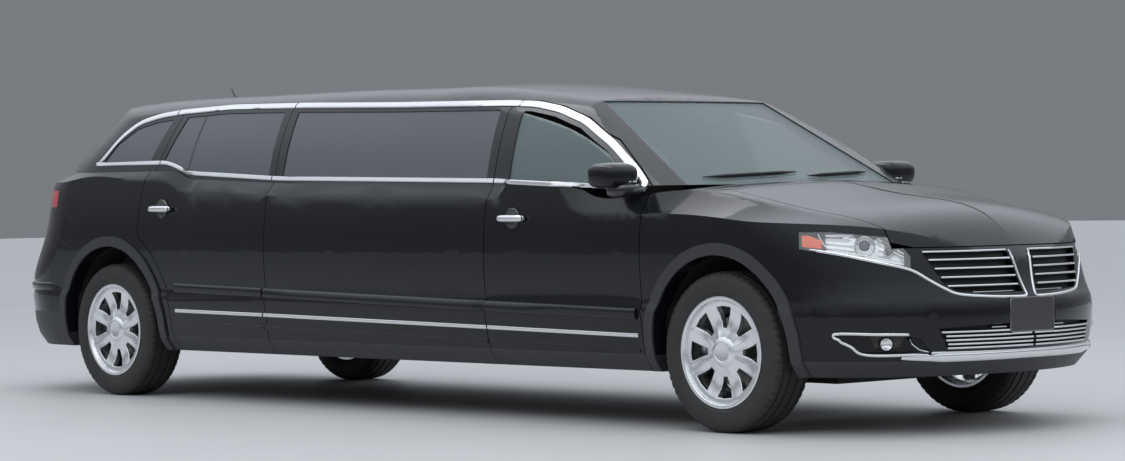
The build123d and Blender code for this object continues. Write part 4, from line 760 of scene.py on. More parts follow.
def nose_path(shares, side=-1, closed=False, whole=False):
    """Points of a front-view line put on the nose; whole carries it across to the other side."""
    line = [(side * across * HALF_WIDTH, up * BODY_HEIGHT) for across, up in shares]
    if whole:
        line += [(-y, z) for y, z in reversed(line[:-1])]
    path = []
    for point in smooth_path([(0, y, z) for y, z in line], 12 * MM, closed):
        found = front_hit(NOSE, point.y, point.z)
        if found is not None:
            path.append(found)
    depths = [point.x for point, _ in path]
    flat = []
    for place, (point, normal) in enumerate(path):
        near = sorted(depths[max(0, place - 3):place + 4])
        flat.append((Vector((near[len(near) // 2], point.y, point.z)), normal))
    return even_normals(even_normals(flat))


# Plan of the rear bumper's step, from the right wheel arch to the middle of the tail
REAR_STEP_PLAN = [
    (-2.84, -0.97), (-3.10, -0.95), (-3.30, -0.88), (-3.44, -0.72), (-3.54, -0.40), (-3.56, 0.0),
]
REAR_STEP_SHARE = 0.360
REAR_STEP_MIDDLE = -2.4
# Place along the body, height and radius of the fuel door
FUEL_DOOR = (-2.74, 0.93, 0.078)
VENT_X = -1.70
VENT_FOOT = 12 * MM
VENT_TOP = 28 * MM
# Both ends of each wiper: distance across and share of the body's height
WIPER_ENDS = [((-0.60, 0.690), (-0.02, 0.702)), ((0.02, 0.690), (0.56, 0.700))]
ANTENNA_X = -2.383
ANTENNA_LEAN = 0.65
ANTENNA_RISE = 0.052


class SmallTrim(Builder):
    """Rear bumper step, fuel door, vent dividers, wipers and antenna."""

    bl_idname = "limousine.small_trim"
    bl_label = "Small trim"

    def execute(self, context):
        self.rear_step()
        self.fuel_door()
        for side in SIDES:
            self.vent(side)
        self.wipers()
        self.antenna()
        return {"FINISHED"}

    def rear_step(self):
        bumper = tree_of(["rear_bumper"])
        z = REAR_STEP_SHARE * BODY_HEIGHT
        plan = [(x, y, z) for x, y in REAR_STEP_PLAN]
        plan += [(x, -y, z) for x, y in reversed(REAR_STEP_PLAN[:-1])]
        path = []
        for point in smooth_path(plan, 30 * MM):
            hit, normal, _, _ = bumper.find_nearest(point)
            outward = point - Vector((REAR_STEP_MIDDLE, 0, z))
            path.append((Vector((hit.x, hit.y, z)), normal if normal.dot(outward) > 0 else -normal))
        path = even_normals(even_normals(path))
        moulding("rear_step", path, 46 * MM, 12 * MM, "paint", "body", "paint", taper=0.02)

    def fuel_door(self):
        x, z, radius = FUEL_DOOR
        path = []
        for step in range(48):
            angle = step / 24 * pi
            path.append(side_point(x + radius * cos(angle), z + radius * sin(angle), -1))
        path = even_normals(path)
        plastic = "black_plastic"
        moulding("fuel_door_gap", path, 3.5 * MM, 0.8 * MM, plastic, "body", plastic, closed=True)

    def vent(self, side):
        hand = HANDS[side]
        glass = tree_of([f"{hand}_rear_door_glass"])
        foot = share_line(BELT_SHARES, VENT_X) + VENT_FOOT
        top = share_line(WINDOW_TOP_SHARES, VENT_X) - VENT_TOP
        path = []
        for step in range(25):
            start = Vector((VENT_X, side * REACH, foot + (top - foot) * step / 24))
            hit, normal, _, _ = glass.ray_cast(start, Vector((0, -side, 0)), REACH - MID_DEPTH)
            if hit is not None:
                path.append((hit, normal if normal.y * side > 0 else -normal))
        path = even_normals(path)
        body = f"{hand}_rear_door"
        moulding(f"{hand}_vent_divider", path, 24 * MM, 4 * MM, "gloss_black", body, "black_plastic")

    def wipers(self):
        glass = tree_of(["windshield"])
        for place, (start, end) in enumerate(WIPER_ENDS):
            path = []
            for step in range(25):
                across = start[0] + (end[0] - start[0]) * step / 24
                up = (start[1] + (end[1] - start[1]) * step / 24) * BODY_HEIGHT
                found = front_hit(glass, across, up)
                if found is not None:
                    point, normal = found
                    path.append((point + normal * (8 * MM), normal))
            path = even_normals(path)
            plastic = "black_plastic"
            moulding(f"wiper_{place}", path, 16 * MM, 9 * MM, plastic, "body", plastic, taper=0.2)

    def antenna(self):
        roof = tree_of(["roof"])
        foot, _, _, _ = roof.ray_cast(Vector((ANTENNA_X, 0, 2)), -UP)
        base = [(0.0, 0.022), (0.008, 0.021), (0.015, 0.014), (0.019, 0.0), (0.019, -0.004), (0.0, -0.004)]
        bm = lathe(base, 32, foot, UP, Vector((1, 0, 0)))
        finish_piece("antenna_base", bm, "black_plastic", "body", "black_plastic")
        lean = Vector((-ANTENNA_LEAN, 0, 1)).normalized()
        length = (BODY_HEIGHT + ANTENNA_RISE - foot.z) / lean.z
        mast = [
            (0.0, 0.010), (0.0042, 0.012), (0.0036, length * 0.5), (0.0026, length * 0.985), (0.0, length),
        ]
        bm = lathe(mast, 16, foot, lean, Vector((0, 1, 0)))
        finish_piece("antenna_mast", bm, "black_plastic", "body", "black_plastic")


class NoseTrim(Builder):
    """Bright lines under the lamps and grille, round the fog lamps and along the chin."""

    bl_idname = "limousine.nose_trim"
    bl_label = "Nose trim"

    def execute(self, context):
        line, height = self.trim.line, self.trim.height
        for side in SIDES:
            hand = HANDS[side]
            bright_line(f"{hand}_wing_line", nose_path(WING_LINE_SHARES, side), line, height, taper=0.04)
            fog = nose_path(FOG_LINE_SHARES, side, closed=True)
            bright_line(f"{hand}_fog_line", fog, line, height, closed=True)
        bright_line("chin_line", nose_path(CHIN_LINE_SHARES, whole=True), line, height)
        bright_line("chin_lip", nose_path(LIP_SHARES, whole=True), 3.2 * line, 2 * height, taper=0.14)
        self.hood_ridge()
        return {"FINISHED"}

    def hood_ridge(self):
        """Raised line along the middle of the hood."""
        low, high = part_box("hood")
        hood = tree_of(["hood"])
        start, end = low.x + 0.15, high.x - 0.02
        ridge = []
        for step in range(41):
            x = start + (end - start) * step / 40
            hit, normal, _, _ = hood.ray_cast(Vector((x, 0, 2)), -UP)
            if hit is not None:
                ridge.append((hit, normal if normal.z > 0 else -normal))
        moulding("hood_ridge", even_normals(ridge), 24 * MM, 4 * MM, "paint", "hood", "paint", taper=0.3)


# Inner and outer end of the bars of a grille, across from the middle
GRILLE_BARS = {"grille": (0.060, 0.56), "lower_grille": (0.005, 0.54)}
# Where across the bars are counted, the step along a bar, and the largest jump between two faces of one
BAR_SAMPLE = 0.25
BAR_STEP = 10 * MM
BAR_JUMP = 12 * MM


def bar_heights(tree, y, low_z, high_z):
    """Heights of the bars of a grille, from its front faces at one place across."""
    count = round((high_z - low_z) / (2 * MM))
    found = [(low_z + 2 * MM * step, front_hit(tree, y, low_z + 2 * MM * step)) for step in range(count)]
    found = [(z, hit[0].x) for z, hit in found if hit is not None]
    groups = []
    for z, x in found:
        front = max(other_x for other_z, other_x in found if abs(other_z - z) < 24 * MM)
        if x > front - BAR_JUMP:
            if groups and z - groups[-1][-1] < 5 * MM:
                groups[-1].append(z)
            else:
                groups.append([z])
    return [sum(group) / len(group) for group in groups]


class Grille(Builder):
    """Bright rounded bars over dark backs in the split grille and the lower grille, and the framed plate."""

    bl_idname = "limousine.grille"
    bl_label = "Grilles"

    def execute(self, context):
        for node, (inner, outer) in GRILLE_BARS.items():
            dress_node(node, "black_plastic")
            tree = GRILLE_TREES[node]
            low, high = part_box(node)
            for side in SIDES:
                heights = bar_heights(tree, side * BAR_SAMPLE, low.z + 4 * MM, high.z - 4 * MM)
                paths = [self.bar_path(tree, side, z, inner, outer) for z in heights]
                if node == "lower_grille":
                    paths += [self.between(lower, upper) for lower, upper in zip(paths, paths[1:])]
                for place, path in enumerate(paths):
                    if len(path) > 3:
                        path = even_normals(even_normals(path))
                        bright_line(f"{HANDS[side]}_{node}_bar_{place}", path, 9 * MM, 5 * MM)
        self.plate()
        return {"FINISHED"}

    def between(self, lower, upper):
        """Points of a bar halfway between two others."""
        return [(first.lerp(second, 0.5), normal) for (first, normal), (second, _) in zip(lower, upper)]

    def plate(self):
        """Number plate with a frame that has rounded corners."""
        dress_node("plate", "gloss_black")
        low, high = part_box("plate")
        corner = 14 * MM
        right, left = low.y + corner, high.y - corner
        foot, top = low.z + corner, high.z - corner
        path = []
        for quarter, (y, z) in enumerate(((left, top), (right, top), (right, foot), (left, foot))):
            for step in range(7):
                angle = (quarter + step / 6) * pi / 2
                point = Vector((high.x, y + corner * cos(angle), z + corner * sin(angle)))
                path.append((point, Vector((1, 0, 0))))
        moulding("plate_frame", path, 5 * MM, 2.5 * MM, "dull_steel", "body", "chrome_bars", closed=True)

    def bar_path(self, tree, side, z, inner, outer):
        """Points of one bar, followed both ways from a sample place while its face goes on."""
        start, _ = front_hit(tree, side * BAR_SAMPLE, z)
        halves = []
        for way in (-1, 1):
            half = []
            last = start.x
            across = BAR_SAMPLE
            while inner <= across <= outer:
                found = front_hit(tree, side * across, z)
                if found is None or abs(found[0].x - last) > BAR_JUMP:
                    break
                last = found[0].x
                half.append(found)
                across += way * BAR_STEP
            halves.append(half)
        return [*reversed(halves[0]), *halves[1][1:]]


LAMP_ORIGIN = Vector((3.100, -0.760, 0.0))
LAMP_TURN = radians(42.0)


def lamp_place(along, up, out, side):
    """World point from lamp coordinates: along the lens, up and outward."""
    x = LAMP_ORIGIN.x + sin(LAMP_TURN) * along + cos(LAMP_TURN) * out
    y = LAMP_ORIGIN.y + cos(LAMP_TURN) * along - sin(LAMP_TURN) * out
    return Vector((x, -side * y, up))


def lamp_outward(side):
    """Direction that the lamps on a side face."""
    return (lamp_place(0, 0, 1, side) - lamp_place(0, 0, 0, side)).normalized()


# Sheet behind a headlamp's lens: its start and length, the foot and top lines with their slopes,
# the depth behind the lens and how far every other row stands back
Sheet = namedtuple("Sheet", "start length foot foot_x foot_slope top top_x top_slope depth ripple")
REFLECTOR = Sheet(-0.105, 0.345, 0.822, -0.092, 0.188, 0.900, 0.100, 0.62, 0.022, 0.004)
MARKER = Sheet(-0.207, 0.085, 0.8475, -0.207, 0.12, 0.897, -0.180, 0.40, 0.006, 0.0)
SHEET_HEIGHT = 12 * MM
BEZEL_LINE = [(-0.138, 0, 0.903), (-0.118, 0, 0.862), (-0.085, 0, 0.836), (0.04, 0, 0.809), (0.235, 0, 0.772)]
# Lights in a headlamp: name, place along and up, radius
LIGHTS = [("projector", 0.065, 0.846, 0.034), ("turn", 0.168, 0.815, 0.017)]
LIGHT_DEPTH = 0.030
FOG_PLACE = (0.150, 0.414)
LENS_FACING = 0.35


class Lamps(Builder):
    """Headlamps with projectors and markers, fog lamps and tail lamps."""

    bl_idname = "limousine.lamps"
    bl_label = "Lamps"

    def execute(self, context):
        for side in SIDES:
            self.headlamp(side)
            self.fog_lamp(side)
        for node in ("tail_lamps", "liftgate_lamp"):
            dress_node(node, "tail_lens")
        return {"FINISHED"}

    def headlamp(self, side):
        node = f"{HANDS[side]}_headlamp"
        outward = lamp_outward(side)
        tree = tree_of([node])

        def inside(along, up, depth):
            start = lamp_place(along, up, 1, side)
            hit, _, _, _ = tree.ray_cast(start, -outward)
            if hit is None:
                hit, _, _, _ = tree.find_nearest(lamp_place(along, up, 0.1, side))
            return hit - outward * depth

        def sheet_rows(sheet, steps, parts):
            rows = []
            for step in range(steps + 1):
                along = sheet.start + sheet.length * step / steps
                foot = sheet.foot - sheet.foot_slope * (along - sheet.foot_x)
                top = sheet.top - sheet.top_slope * max(0, along - sheet.top_x)
                height = max(top - foot, SHEET_HEIGHT)
                row = []
                for part in range(parts + 1):
                    depth = sheet.depth + sheet.ripple * (part % 2)
                    row.append(inside(along, foot + height * part / parts, depth))
                rows.append(row)
            return rows

        bm = node_mesh(node)
        bucket = bm.copy()
        inner = [face for face in bm.faces if face.normal.dot(outward) < LENS_FACING]
        bmesh.ops.delete(bm, geom=inner, context="FACES")
        lens = finish_piece(f"{node}_lens", bm, "lamp_lens", "body", "lamp")
        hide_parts(node)
        outer = [face for face in bucket.faces if face.normal.dot(outward) >= LENS_FACING]
        bmesh.ops.delete(bucket, geom=outer, context="FACES")
        finish_piece(f"{node}_bucket", bucket, "dull_steel", "body", "lamp")
        band(f"{node}_reflector", sheet_rows(REFLECTOR, 24, 8), 3 * MM, "alloy", "body", "lamp")
        band(f"{node}_marker", sheet_rows(MARKER, 12, 4), 5 * MM, "amber_lens", "body", "lamp")
        bezel = [(inside(point.x, point.z, 0.004), outward) for point in smooth_path(BEZEL_LINE, 8 * MM)]
        moulding(f"{node}_bezel", bezel, 6 * MM, 3 * MM, "chrome", "body", "lamp")
        for name, along, up, radius in LIGHTS:
            centre = inside(along, up, LIGHT_DEPTH)
            ring = [
                (radius * 1.42, -0.02), (radius * 1.42, 0.014), (radius * 1.32, 0.019),
                (radius * 1.20, 0.014), (radius * 1.12, 0.004), (radius * 1.02, 0.003),
                (radius, 0.012), (radius * 0.9, 0.016), (radius * 0.86, -0.02),
            ]
            bm = lathe(ring, 40, centre, outward, UP)
            finish_piece(f"{node}_{name}_ring", bm, "chrome", "body", "lamp", angle=60)
            eye = [
                (0.0, 0.020), (radius * 0.35, 0.018), (radius * 0.62, 0.012), (radius * 0.8, 0.003),
                (radius * 0.84, -0.02), (0.0, -0.02),
            ]
            bm = lathe(eye, 40, centre, outward, UP)
            finish_piece(f"{node}_{name}_eye", bm, "gloss_black", "body", "lamp", angle=60)

    def fog_lamp(self, side):
        if side < 0:
            dress_node("fog_lamps", "black_plastic")
        tree = tree_of(["fog_lamps"])
        outward = lamp_outward(side)
        hit, _, _, _ = tree.ray_cast(lamp_place(*FOG_PLACE, 1, side), -outward)
        bowl = [
            (0.0, 0.003), (0.014, 0.004), (0.022, 0.010), (0.026, 0.012), (0.028, 0.008), (0.029, -0.004),
            (0.0, -0.004),
        ]
        bm = lathe(bowl, 36, hit, outward, UP)
        finish_piece(f"{HANDS[side]}_fog_bowl", bm, "chrome", "body", "lamp", angle=60)


# Half angles of a window between two spokes, in degrees: at its inner end, and how much it opens outwards
WINDOW_FOOT = 5.4
WINDOW_FLARE = 7.4
# Distances from the axle: where the windows begin to widen, where they are cut out, and where they end
WINDOW_START = 0.098
WINDOW_INNER = 0.112
WINDOW_OUTER = 0.210


def window_angle(distance):
    """Half angle of a wheel window at a distance from the axle."""
    spread = (distance - WINDOW_START) / (WINDOW_OUTER - WINDOW_START)
    return radians(WINDOW_FOOT + WINDOW_FLARE * min(max(spread, 0), 1))


def wheel_frame(node):
    """Centre, outward axle direction and radius of a wheel node."""
    low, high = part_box(node)
    centre = (low + high) / 2
    side = 1 if centre.y > 0 else -1
    return centre, Vector((0, side, 0)), (high.z - low.z) / 2


class Wheels(Builder):
    """Treaded tyres and spoked alloy wheels."""

    bl_idname = "limousine.wheels"
    bl_label = "Wheels"

    def execute(self, context):
        for place in ("front", "rear"):
            for side in SIDES:
                hand = HANDS[side]
                self.tyre(f"{place}_{hand}_tyre")
                self.rim(f"{place}_{hand}_rim")
        return {"FINISHED"}

    def tyre(self, node):
        centre, axle, radius = wheel_frame(node)
        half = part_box(node)[1].y - centre.y
        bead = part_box(node.replace("tyre", "rim"))
        inner = (bead[1].z - bead[0].z) / 2
        groove = self.wheels.groove
        side_rows = [
            (inner, half * 0.82), (inner + 0.012, half * 0.90), (inner + 0.030, half * 0.965),
            (inner + 0.034, half * 0.955), (inner + 0.055, half), (radius - 0.040, half * 0.985),
            (radius - 0.022, half * 0.955), (radius - 0.010, half * 0.88), (radius - 0.003, half * 0.78),
        ]
        tread = []
        for edge in (0.62, 0.22):
            tread += [(radius - 0.001, half * (edge + 0.045)), (radius - groove, half * (edge + 0.040)),
                      (radius - groove, half * (edge - 0.040)), (radius, half * (edge - 0.045))]
        rows = side_rows + tread
        profile = rows + [(distance, -offset) for distance, offset in reversed(rows)]
        steps = self.wheels.blocks * 4
        bm = lathe(profile, steps, centre, axle, UP)
        for vertex in bm.verts:
            arm = vertex.co - centre
            offset = arm.dot(axle)
            flat = arm - axle * offset
            turn = atan2(flat.x, flat.z) / (2 * pi) * steps
            cut = round(turn) % 4 == 0
            outer = abs(offset) > half * 0.66 and flat.length > radius - 0.024
            if cut and outer:
                vertex.co -= flat.normalized() * (groove * 0.7)
        body = body_of_node(node)
        piece = finish_piece(f"{node}_tread", bm, "rubber", body, "tyre_rubber", angle=28, weighted=False)
        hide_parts(node)

    def rim(self, node):
        centre, axle, radius = wheel_frame(node)
        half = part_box(node)[1].y - centre.y
        body = body_of_node(node)
        barrel = [
            (radius + 0.004, half - 0.002), (radius + 0.010, half + 0.001), (radius + 0.010, half + 0.005),
            (radius - 0.002, half + 0.007), (radius - 0.008, half + 0.002), (radius - 0.012, half - 0.020),
            (radius - 0.030, half - 0.050), (radius - 0.034, -half * 0.7), (radius - 0.012, -half),
            (radius, -half), (radius - 0.004, 0),
        ]
        bm = lathe(barrel, 96, centre, axle, UP)
        finish_piece(f"{node}_barrel", bm, "alloy", body, "alloy", angle=50)
        face = self.spoke_face(centre, axle, radius, half)
        piece = finish_piece(f"{node}_face", face, "alloy", body, "alloy", angle=40)
        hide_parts(node)
        bevel = piece.modifiers.new("Soft edges", "BEVEL")
        bevel.width = 2.5 * MM
        bevel.segments = 2
        bevel.limit_method = "ANGLE"
        cap = self.wheels.cap
        lid = [
            (0.0, half - 0.004), (cap * 0.55, half - 0.005), (cap * 0.62, half - 0.002),
            (cap * 0.9, half - 0.006), (cap, half - 0.014), (cap, half - 0.05), (0.0, half - 0.05),
        ]
        bm = lathe(lid, 64, centre, axle, UP)
        finish_piece(f"{node}_cap", bm, "alloy", body, "alloy", angle=40)
        disc = [(0.0, -0.030), (0.168, -0.030), (0.168, -0.004), (0.075, -0.004), (0.075, 0.05), (0.0, 0.05)]
        bm = lathe(disc, 72, centre, axle, UP)
        finish_piece(f"{node}_disc", bm, "dull_steel", body, "alloy", angle=40)

    def spoke_face(self, centre, axle, radius, half):
        """Dished face with one tapered window between each pair of spokes."""
        spokes = self.wheels.spokes
        sector = pi / spokes
        third = UP.cross(axle)
        radii = [
            0.060, 0.080, WINDOW_START, WINDOW_INNER, 0.140, 0.170, 0.196, WINDOW_OUTER, 0.222,
            radius - 0.010,
        ]
        rows = []
        for distance in radii:
            open_angle = window_angle(distance)
            between = (sector + open_angle) / 2
            columns = [-sector, -between, -open_angle, 0, open_angle, between, sector]
            dish = 0.012 + 0.016 * sin(min(max((distance - 0.07) / 0.15, 0), 1) * pi)
            row = []
            for column, angle in enumerate(columns):
                crown = 0.004 if column in (0, 6) else 0.0
                spoke = UP * cos(angle) + third * sin(angle)
                row.append(centre + spoke * distance + axle * (half - dish + crown))
            rows.append(row)
        bm = bmesh.new()
        for spoke in range(spokes):
            turn = Matrix.Rotation(2 * sector * spoke, 3, axle)
            part = grid_mesh([[centre + turn @ (point - centre) for point in row] for row in rows])
            holder = bpy.data.meshes.new("sector")
            part.to_mesh(holder)
            part.free()
            bm.from_mesh(holder)
            bpy.data.meshes.remove(holder)
        bmesh.ops.remove_doubles(bm, verts=bm.verts, dist=1e-4)
        windows = []
        for face in bm.faces:
            arm = face.calc_center_median() - centre
            flat = arm - axle * arm.dot(axle)
            angle = (atan2(flat.dot(third), flat.dot(UP)) + sector) % (2 * sector) - sector
            if WINDOW_INNER < flat.length < WINDOW_OUTER and abs(angle) < window_angle(flat.length):
                windows.append(face)
        bmesh.ops.delete(bm, geom=windows, context="FACES")
        bmesh.ops.recalc_face_normals(bm, faces=bm.faces)
        if bm.faces[:][0].normal.dot(axle) < 0:
            bmesh.ops.reverse_faces(bm, faces=bm.faces)
        bmesh.ops.solidify(bm, geom=bm.faces[:], thickness=0.030)
        return bm


def superform(centre, half, power, steps):
    """Closed rounded box: an ellipsoid whose sides are pressed flat."""
    def press(value):
        return abs(value) ** power * (1 if value >= 0 else -1)

    rows = []
    for stack in range(1, steps):
        tilt = pi * stack / steps - pi / 2
        row = []
        for part in range(2 * steps + 1):
            turn = pi * part / steps
            x = half[0] * press(cos(tilt)) * press(cos(turn))
            y = half[1] * press(cos(tilt)) * press(sin(turn))
            row.append(Vector(centre) + Vector((x, y, half[2] * press(sin(tilt)))))
        rows.append(row)
    bm = grid_mesh(rows, closed=True)
    close_holes(bm, 2 * steps + 1)
    return bm


# Half width of a mirror's shell, and where each pair of door handles sits: place along and height
MIRROR_HALF = 0.112
HANDLES = [("front", 1.082, 0.981), ("rear", -1.813, 1.042)]


class Mirrors(Builder):
    """Door mirrors with their stalks and repeaters, and the door handles."""

    bl_idname = "limousine.mirrors"
    bl_label = "Mirrors and handles"

    def execute(self, context):
        for side in SIDES:
            hand = HANDS[side]
            self.mirror(side, hand)
            for place, x, z in HANDLES:
                self.strap(side, place, x, z)
        return {"FINISHED"}

    def mirror(self, side, hand):
        node = f"{hand}_mirror"
        low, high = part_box(node)
        outer = max(abs(low.y), abs(high.y))
        body = f"{hand}_front_door"
        middle = ((low.x + high.x) / 2 - 0.002, side * (outer - MIRROR_HALF), (low.z + high.z) / 2)
        half = ((high.x - low.x) / 2, MIRROR_HALF, (high.z - low.z) / 2)
        shell = superform(middle, half, 0.55, 28)
        for vertex in shell.verts:
            along = (vertex.co.x - middle[0]) / half[0]
            vertex.co.z -= 0.010 * max(0, along) ** 2
        cap = finish_piece(f"{node}_cap", shell, "paint", body, "paint", angle=80)
        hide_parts(node)
        glass = superform((low.x + 0.003, middle[1], middle[2]), (0.006, 0.080, 0.044), 0.5, 16)
        finish_piece(f"{node}_glass", glass, "chrome", body, "chrome_bars", angle=60)
        for part in range(5):
            offset = side * (outer - 0.170 + 0.030 * part)
            place = (high.x - 0.010 - 0.004 * part, offset, low.z + 0.030)
            flare = superform(place, (0.012, 0.013, 0.0035), 0.5, 10)
            finish_piece(f"{node}_repeater_{part}", flare, "chrome", body, "chrome_bars", angle=60)
        root, _ = side_point(high.x - 0.02, low.z - 0.035, side)
        place = (high.x - 0.045, (root.y + middle[1]) / 2 + side * 0.01, low.z - 0.012)
        stalk = superform(place, (0.062, abs(middle[1] - root.y) / 2 + 0.045, 0.034), 0.6, 20)
        finish_piece(f"{node}_stalk", stalk, "gloss_black", body, "black_plastic", angle=80)

    def strap(self, side, place, x, z):
        name = f"{HANDS[side]}_{place}"
        door = f"{name}_door"
        low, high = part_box(door)
        outer = max(abs(low.y), abs(high.y)) - 9 * MM
        rows = []
        for step in range(17):
            along = step / 16 * 2 - 1
            swell = sqrt(max(0, 1 - along ** 4))
            height = 0.009 + 0.009 * swell
            depth = 0.008 + 0.007 * swell
            centre = Vector((x + along * 0.096, side * (outer + 0.010 * swell - 0.004), z))
            ring = []
            for part in range(13):
                angle = part / 12 * 2 * pi
                ring.append(centre + Vector((0, side * depth * cos(angle), height * sin(angle))))
            rows.append(ring)
        bm = grid_mesh(rows, closed=True)
        close_holes(bm, 13)
        finish_piece(f"{name}_strap", bm, "chrome", door, "chrome_bars", angle=60)
        # Gloss black disc just proud of the door round the handle. Its rim gives the edge of the handle's
        # recess, which is not cut into the door. Its dark colour is painted shade for the shade inside that
        # recess.
        above, _ = side_point(x, z + 0.050, side)
        below, _ = side_point(x, z - 0.050, side)
        seat = Vector((x, side * (max(abs(above.y), abs(below.y)) + 1 * MM), z))
        dish = [
            (0.0, 0.001), (0.030, 0.001), (0.040, 0.004), (0.047, 0.006), (0.051, 0.003), (0.052, -0.006),
            (0.0, -0.006),
        ]
        bm = lathe(dish, 48, seat, Vector((0, side, 0)), UP)
        finish_piece(f"{name}_dish", bm, "gloss_black", door, "black_plastic", angle=60)


# Squareness of a cushion's corners, and the pitch and depth of the flutes over its face
SEAT_CROWN = 0.40
FLUTE_PITCH = 0.095
FLUTE_DEPTH = 0.009
# Height of a seat's base, half the gap between the front seats, and the headrests' middle and half width
BASE_HEIGHT = 0.30
SEAT_GAP = 0.125
HEADREST_Y = 0.38
HEADREST_HALF = 0.13
# Half length and height of a wheel house, and the floor that it stands on
HOUSE_HALF = 0.56
HOUSE_HEIGHT = 0.60
HOUSE_FOOT = 0.34


def cushion(name, low, high, facing):
    """Crowned cushion with flutes and piping; facing is the axis that it turns to the sitter."""
    low, high = Vector(low), Vector(high)
    centre, half = (low + high) / 2, (high - low) / 2
    bm = superform(centre, half, SEAT_CROWN, 22)
    axis = "xyz".index(facing[-1])
    way = -1 if facing[0] == "-" else 1
    across = 1 if axis != 1 else 0
    for vertex in bm.verts:
        rise = (vertex.co[axis] - centre[axis]) * way / half[axis]
        if rise > 0.3:
            wave = 0.5 - 0.5 * cos(2 * pi * (vertex.co[across] - centre[across]) / FLUTE_PITCH)
            vertex.co[axis] -= way * FLUTE_DEPTH * wave * (rise - 0.3)
    piece = finish_piece(name, bm, "leather", "body", "seat_leather", angle=179, weighted=False)
    others = [place for place in range(3) if place != axis]
    path = []
    for step in range(64):
        angle = step / 32 * pi
        arm = Vector((0, 0, 0))
        for place, value in zip(others, (cos(angle), sin(angle))):
            arm[place] = half[place] * abs(value) ** SEAT_CROWN * (1 if value >= 0 else -1)
        point = centre + arm * 0.965
        point[axis] += way * half[axis] * 0.62
        path.append((point, arm.normalized()))
    moulding(f"{name}_piping", path, 9 * MM, 5 * MM, "leather", "body", "seat_leather", closed=True)
    return piece


class Interior(Builder):
    """Padded seats, dashboard, steering wheel, partition, wheel houses and cabin mirror."""

    bl_idname = "limousine.interior"
    bl_label = "Interior"

    def execute(self, context):
        dress_node("dashboard", "black_plastic")
        dress_node("steering_wheel", "leather")
        dress_node("partition", "gloss_black")
        self.front_seats()
        self.rear_seat()
        self.couch()
        for side in SIDES:
            self.wheel_house(side)
        self.cabin_mirror()
        return {"FINISHED"}

    def front_seats(self):
        low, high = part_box("front_seats")
        for side in SIDES:
            hand = HANDS[side]
            inner, outer = sorted((side * SEAT_GAP, side * high.y))
            corner = (high.x, outer, low.z + BASE_HEIGHT)
            cushion(f"{hand}_seat_base", (low.x + 0.13, inner, low.z), corner, "+z")
            corner = (low.x + 0.17, outer, high.z - 0.15)
            cushion(f"{hand}_seat_back", (low.x, inner, low.z + 0.12), corner, "+x")
            middle = side * HEADREST_Y
            start = (low.x + 0.03, middle - HEADREST_HALF, high.z - 0.19)
            corner = (low.x + 0.13, middle + HEADREST_HALF, high.z)
            cushion(f"{hand}_headrest", start, corner, "+x")
        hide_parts("front_seats")

    def rear_seat(self):
        low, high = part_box("rear_seat")
        width = (high.y - low.y) / 3
        for place in range(3):
            start = low.y + width * place
            corner = (high.x, start + width, low.z + 0.28)
            base = cushion(f"rear_base_{place}", (low.x + 0.12, start, low.z), corner, "+z")
            corner = (low.x + 0.16, start + width, high.z)
            cushion(f"rear_back_{place}", (low.x, start, low.z + 0.10), corner, "+x")
            if place == 0:
                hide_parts("rear_seat")

    def couch(self):
        low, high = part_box("side_couch")
        width = (high.x - low.x) / 2
        for place in range(2):
            start = low.x + width * place
            corner = (start + width, high.y - 0.12, low.z + BASE_HEIGHT)
            base = cushion(f"couch_base_{place}", (start, low.y, low.z), corner, "+z")
            corner = (start + width, high.y, high.z)
            cushion(f"couch_back_{place}", (start, high.y - 0.16, low.z + 0.10), corner, "-y")
            if place == 0:
                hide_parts("side_couch")

    def cabin_mirror(self):
        """Mirror inside the windshield, under its pod."""
        point, normal = front_hit(tree_of(["windshield"]), 0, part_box("windshield")[1].z - 0.07)
        place = point - normal * 0.045
        pod = superform(place, (0.030, 0.055, 0.022), 0.6, 14)
        finish_piece("mirror_pod", pod, "black_plastic", "body", "trim")
        glass = superform(place - Vector((0.055, 0, 0.050)), (0.012, 0.120, 0.030), 0.5, 16)
        finish_piece("cabin_mirror", glass, "black_plastic", "body", "trim", angle=60)

    def wheel_house(self, side):
        """Satin black housing between a rear wheel and the load space."""
        hand = HANDS[side]
        low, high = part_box(f"rear_{hand}_tyre")
        centre = (low + high) / 2
        inner = min(abs(low.y), abs(high.y)) - 0.030
        rows = []
        for step in range(33):
            along = step / 32 * 2 - 1
            x = centre.x + along * HOUSE_HALF
            height = HOUSE_HEIGHT * (1 - abs(along) ** 4)
            row = []
            for part in range(9):
                z = HOUSE_FOOT + height * part / 8
                row.append(Vector((x, side * (inner - 0.012 * sin(pi * part / 8)), z)))
            rows.append(row)
        band(f"{hand}_wheel_house", rows, 5 * MM, "satin_black", "body", "trim")


DARK_NODES = (
    "floor_pan", "front_subframe", "rear_axle", "right_front_knuckle", "left_front_knuckle", "fuel_tank",
)
STEEL_NODES = ("exhaust", "engine_block", "driveshaft")


class Underbody(Builder):
    """Axles, engine, tank, exhaust and floor."""

    bl_idname = "limousine.underbody"
    bl_label = "Underbody"

    def execute(self, context):
        for node in DARK_NODES:
            dress_node(node, "underbody")
        for node in STEEL_NODES:
            dress_node(node, "dull_steel")
        return {"FINISHED"}


# Camera that matches the photograph: metres, degrees and pixels
CAMERA_PLACE = (12.885, -11.508, 1.128)
CAMERA_YAW = 137.33
CAMERA_PITCH = -0.756
CAMERA_ROLL = -0.854
CAMERA_FOCAL_PIXELS = 3268.8
PHOTO_WIDTH = 1125
SENSOR = 36.0
HORIZON_COLOUR = (0.24, 0.25, 0.27, 1)
SKY_COLOUR = (1.25, 1.32, 1.42, 1)
SKY_STRENGTH = 0.8


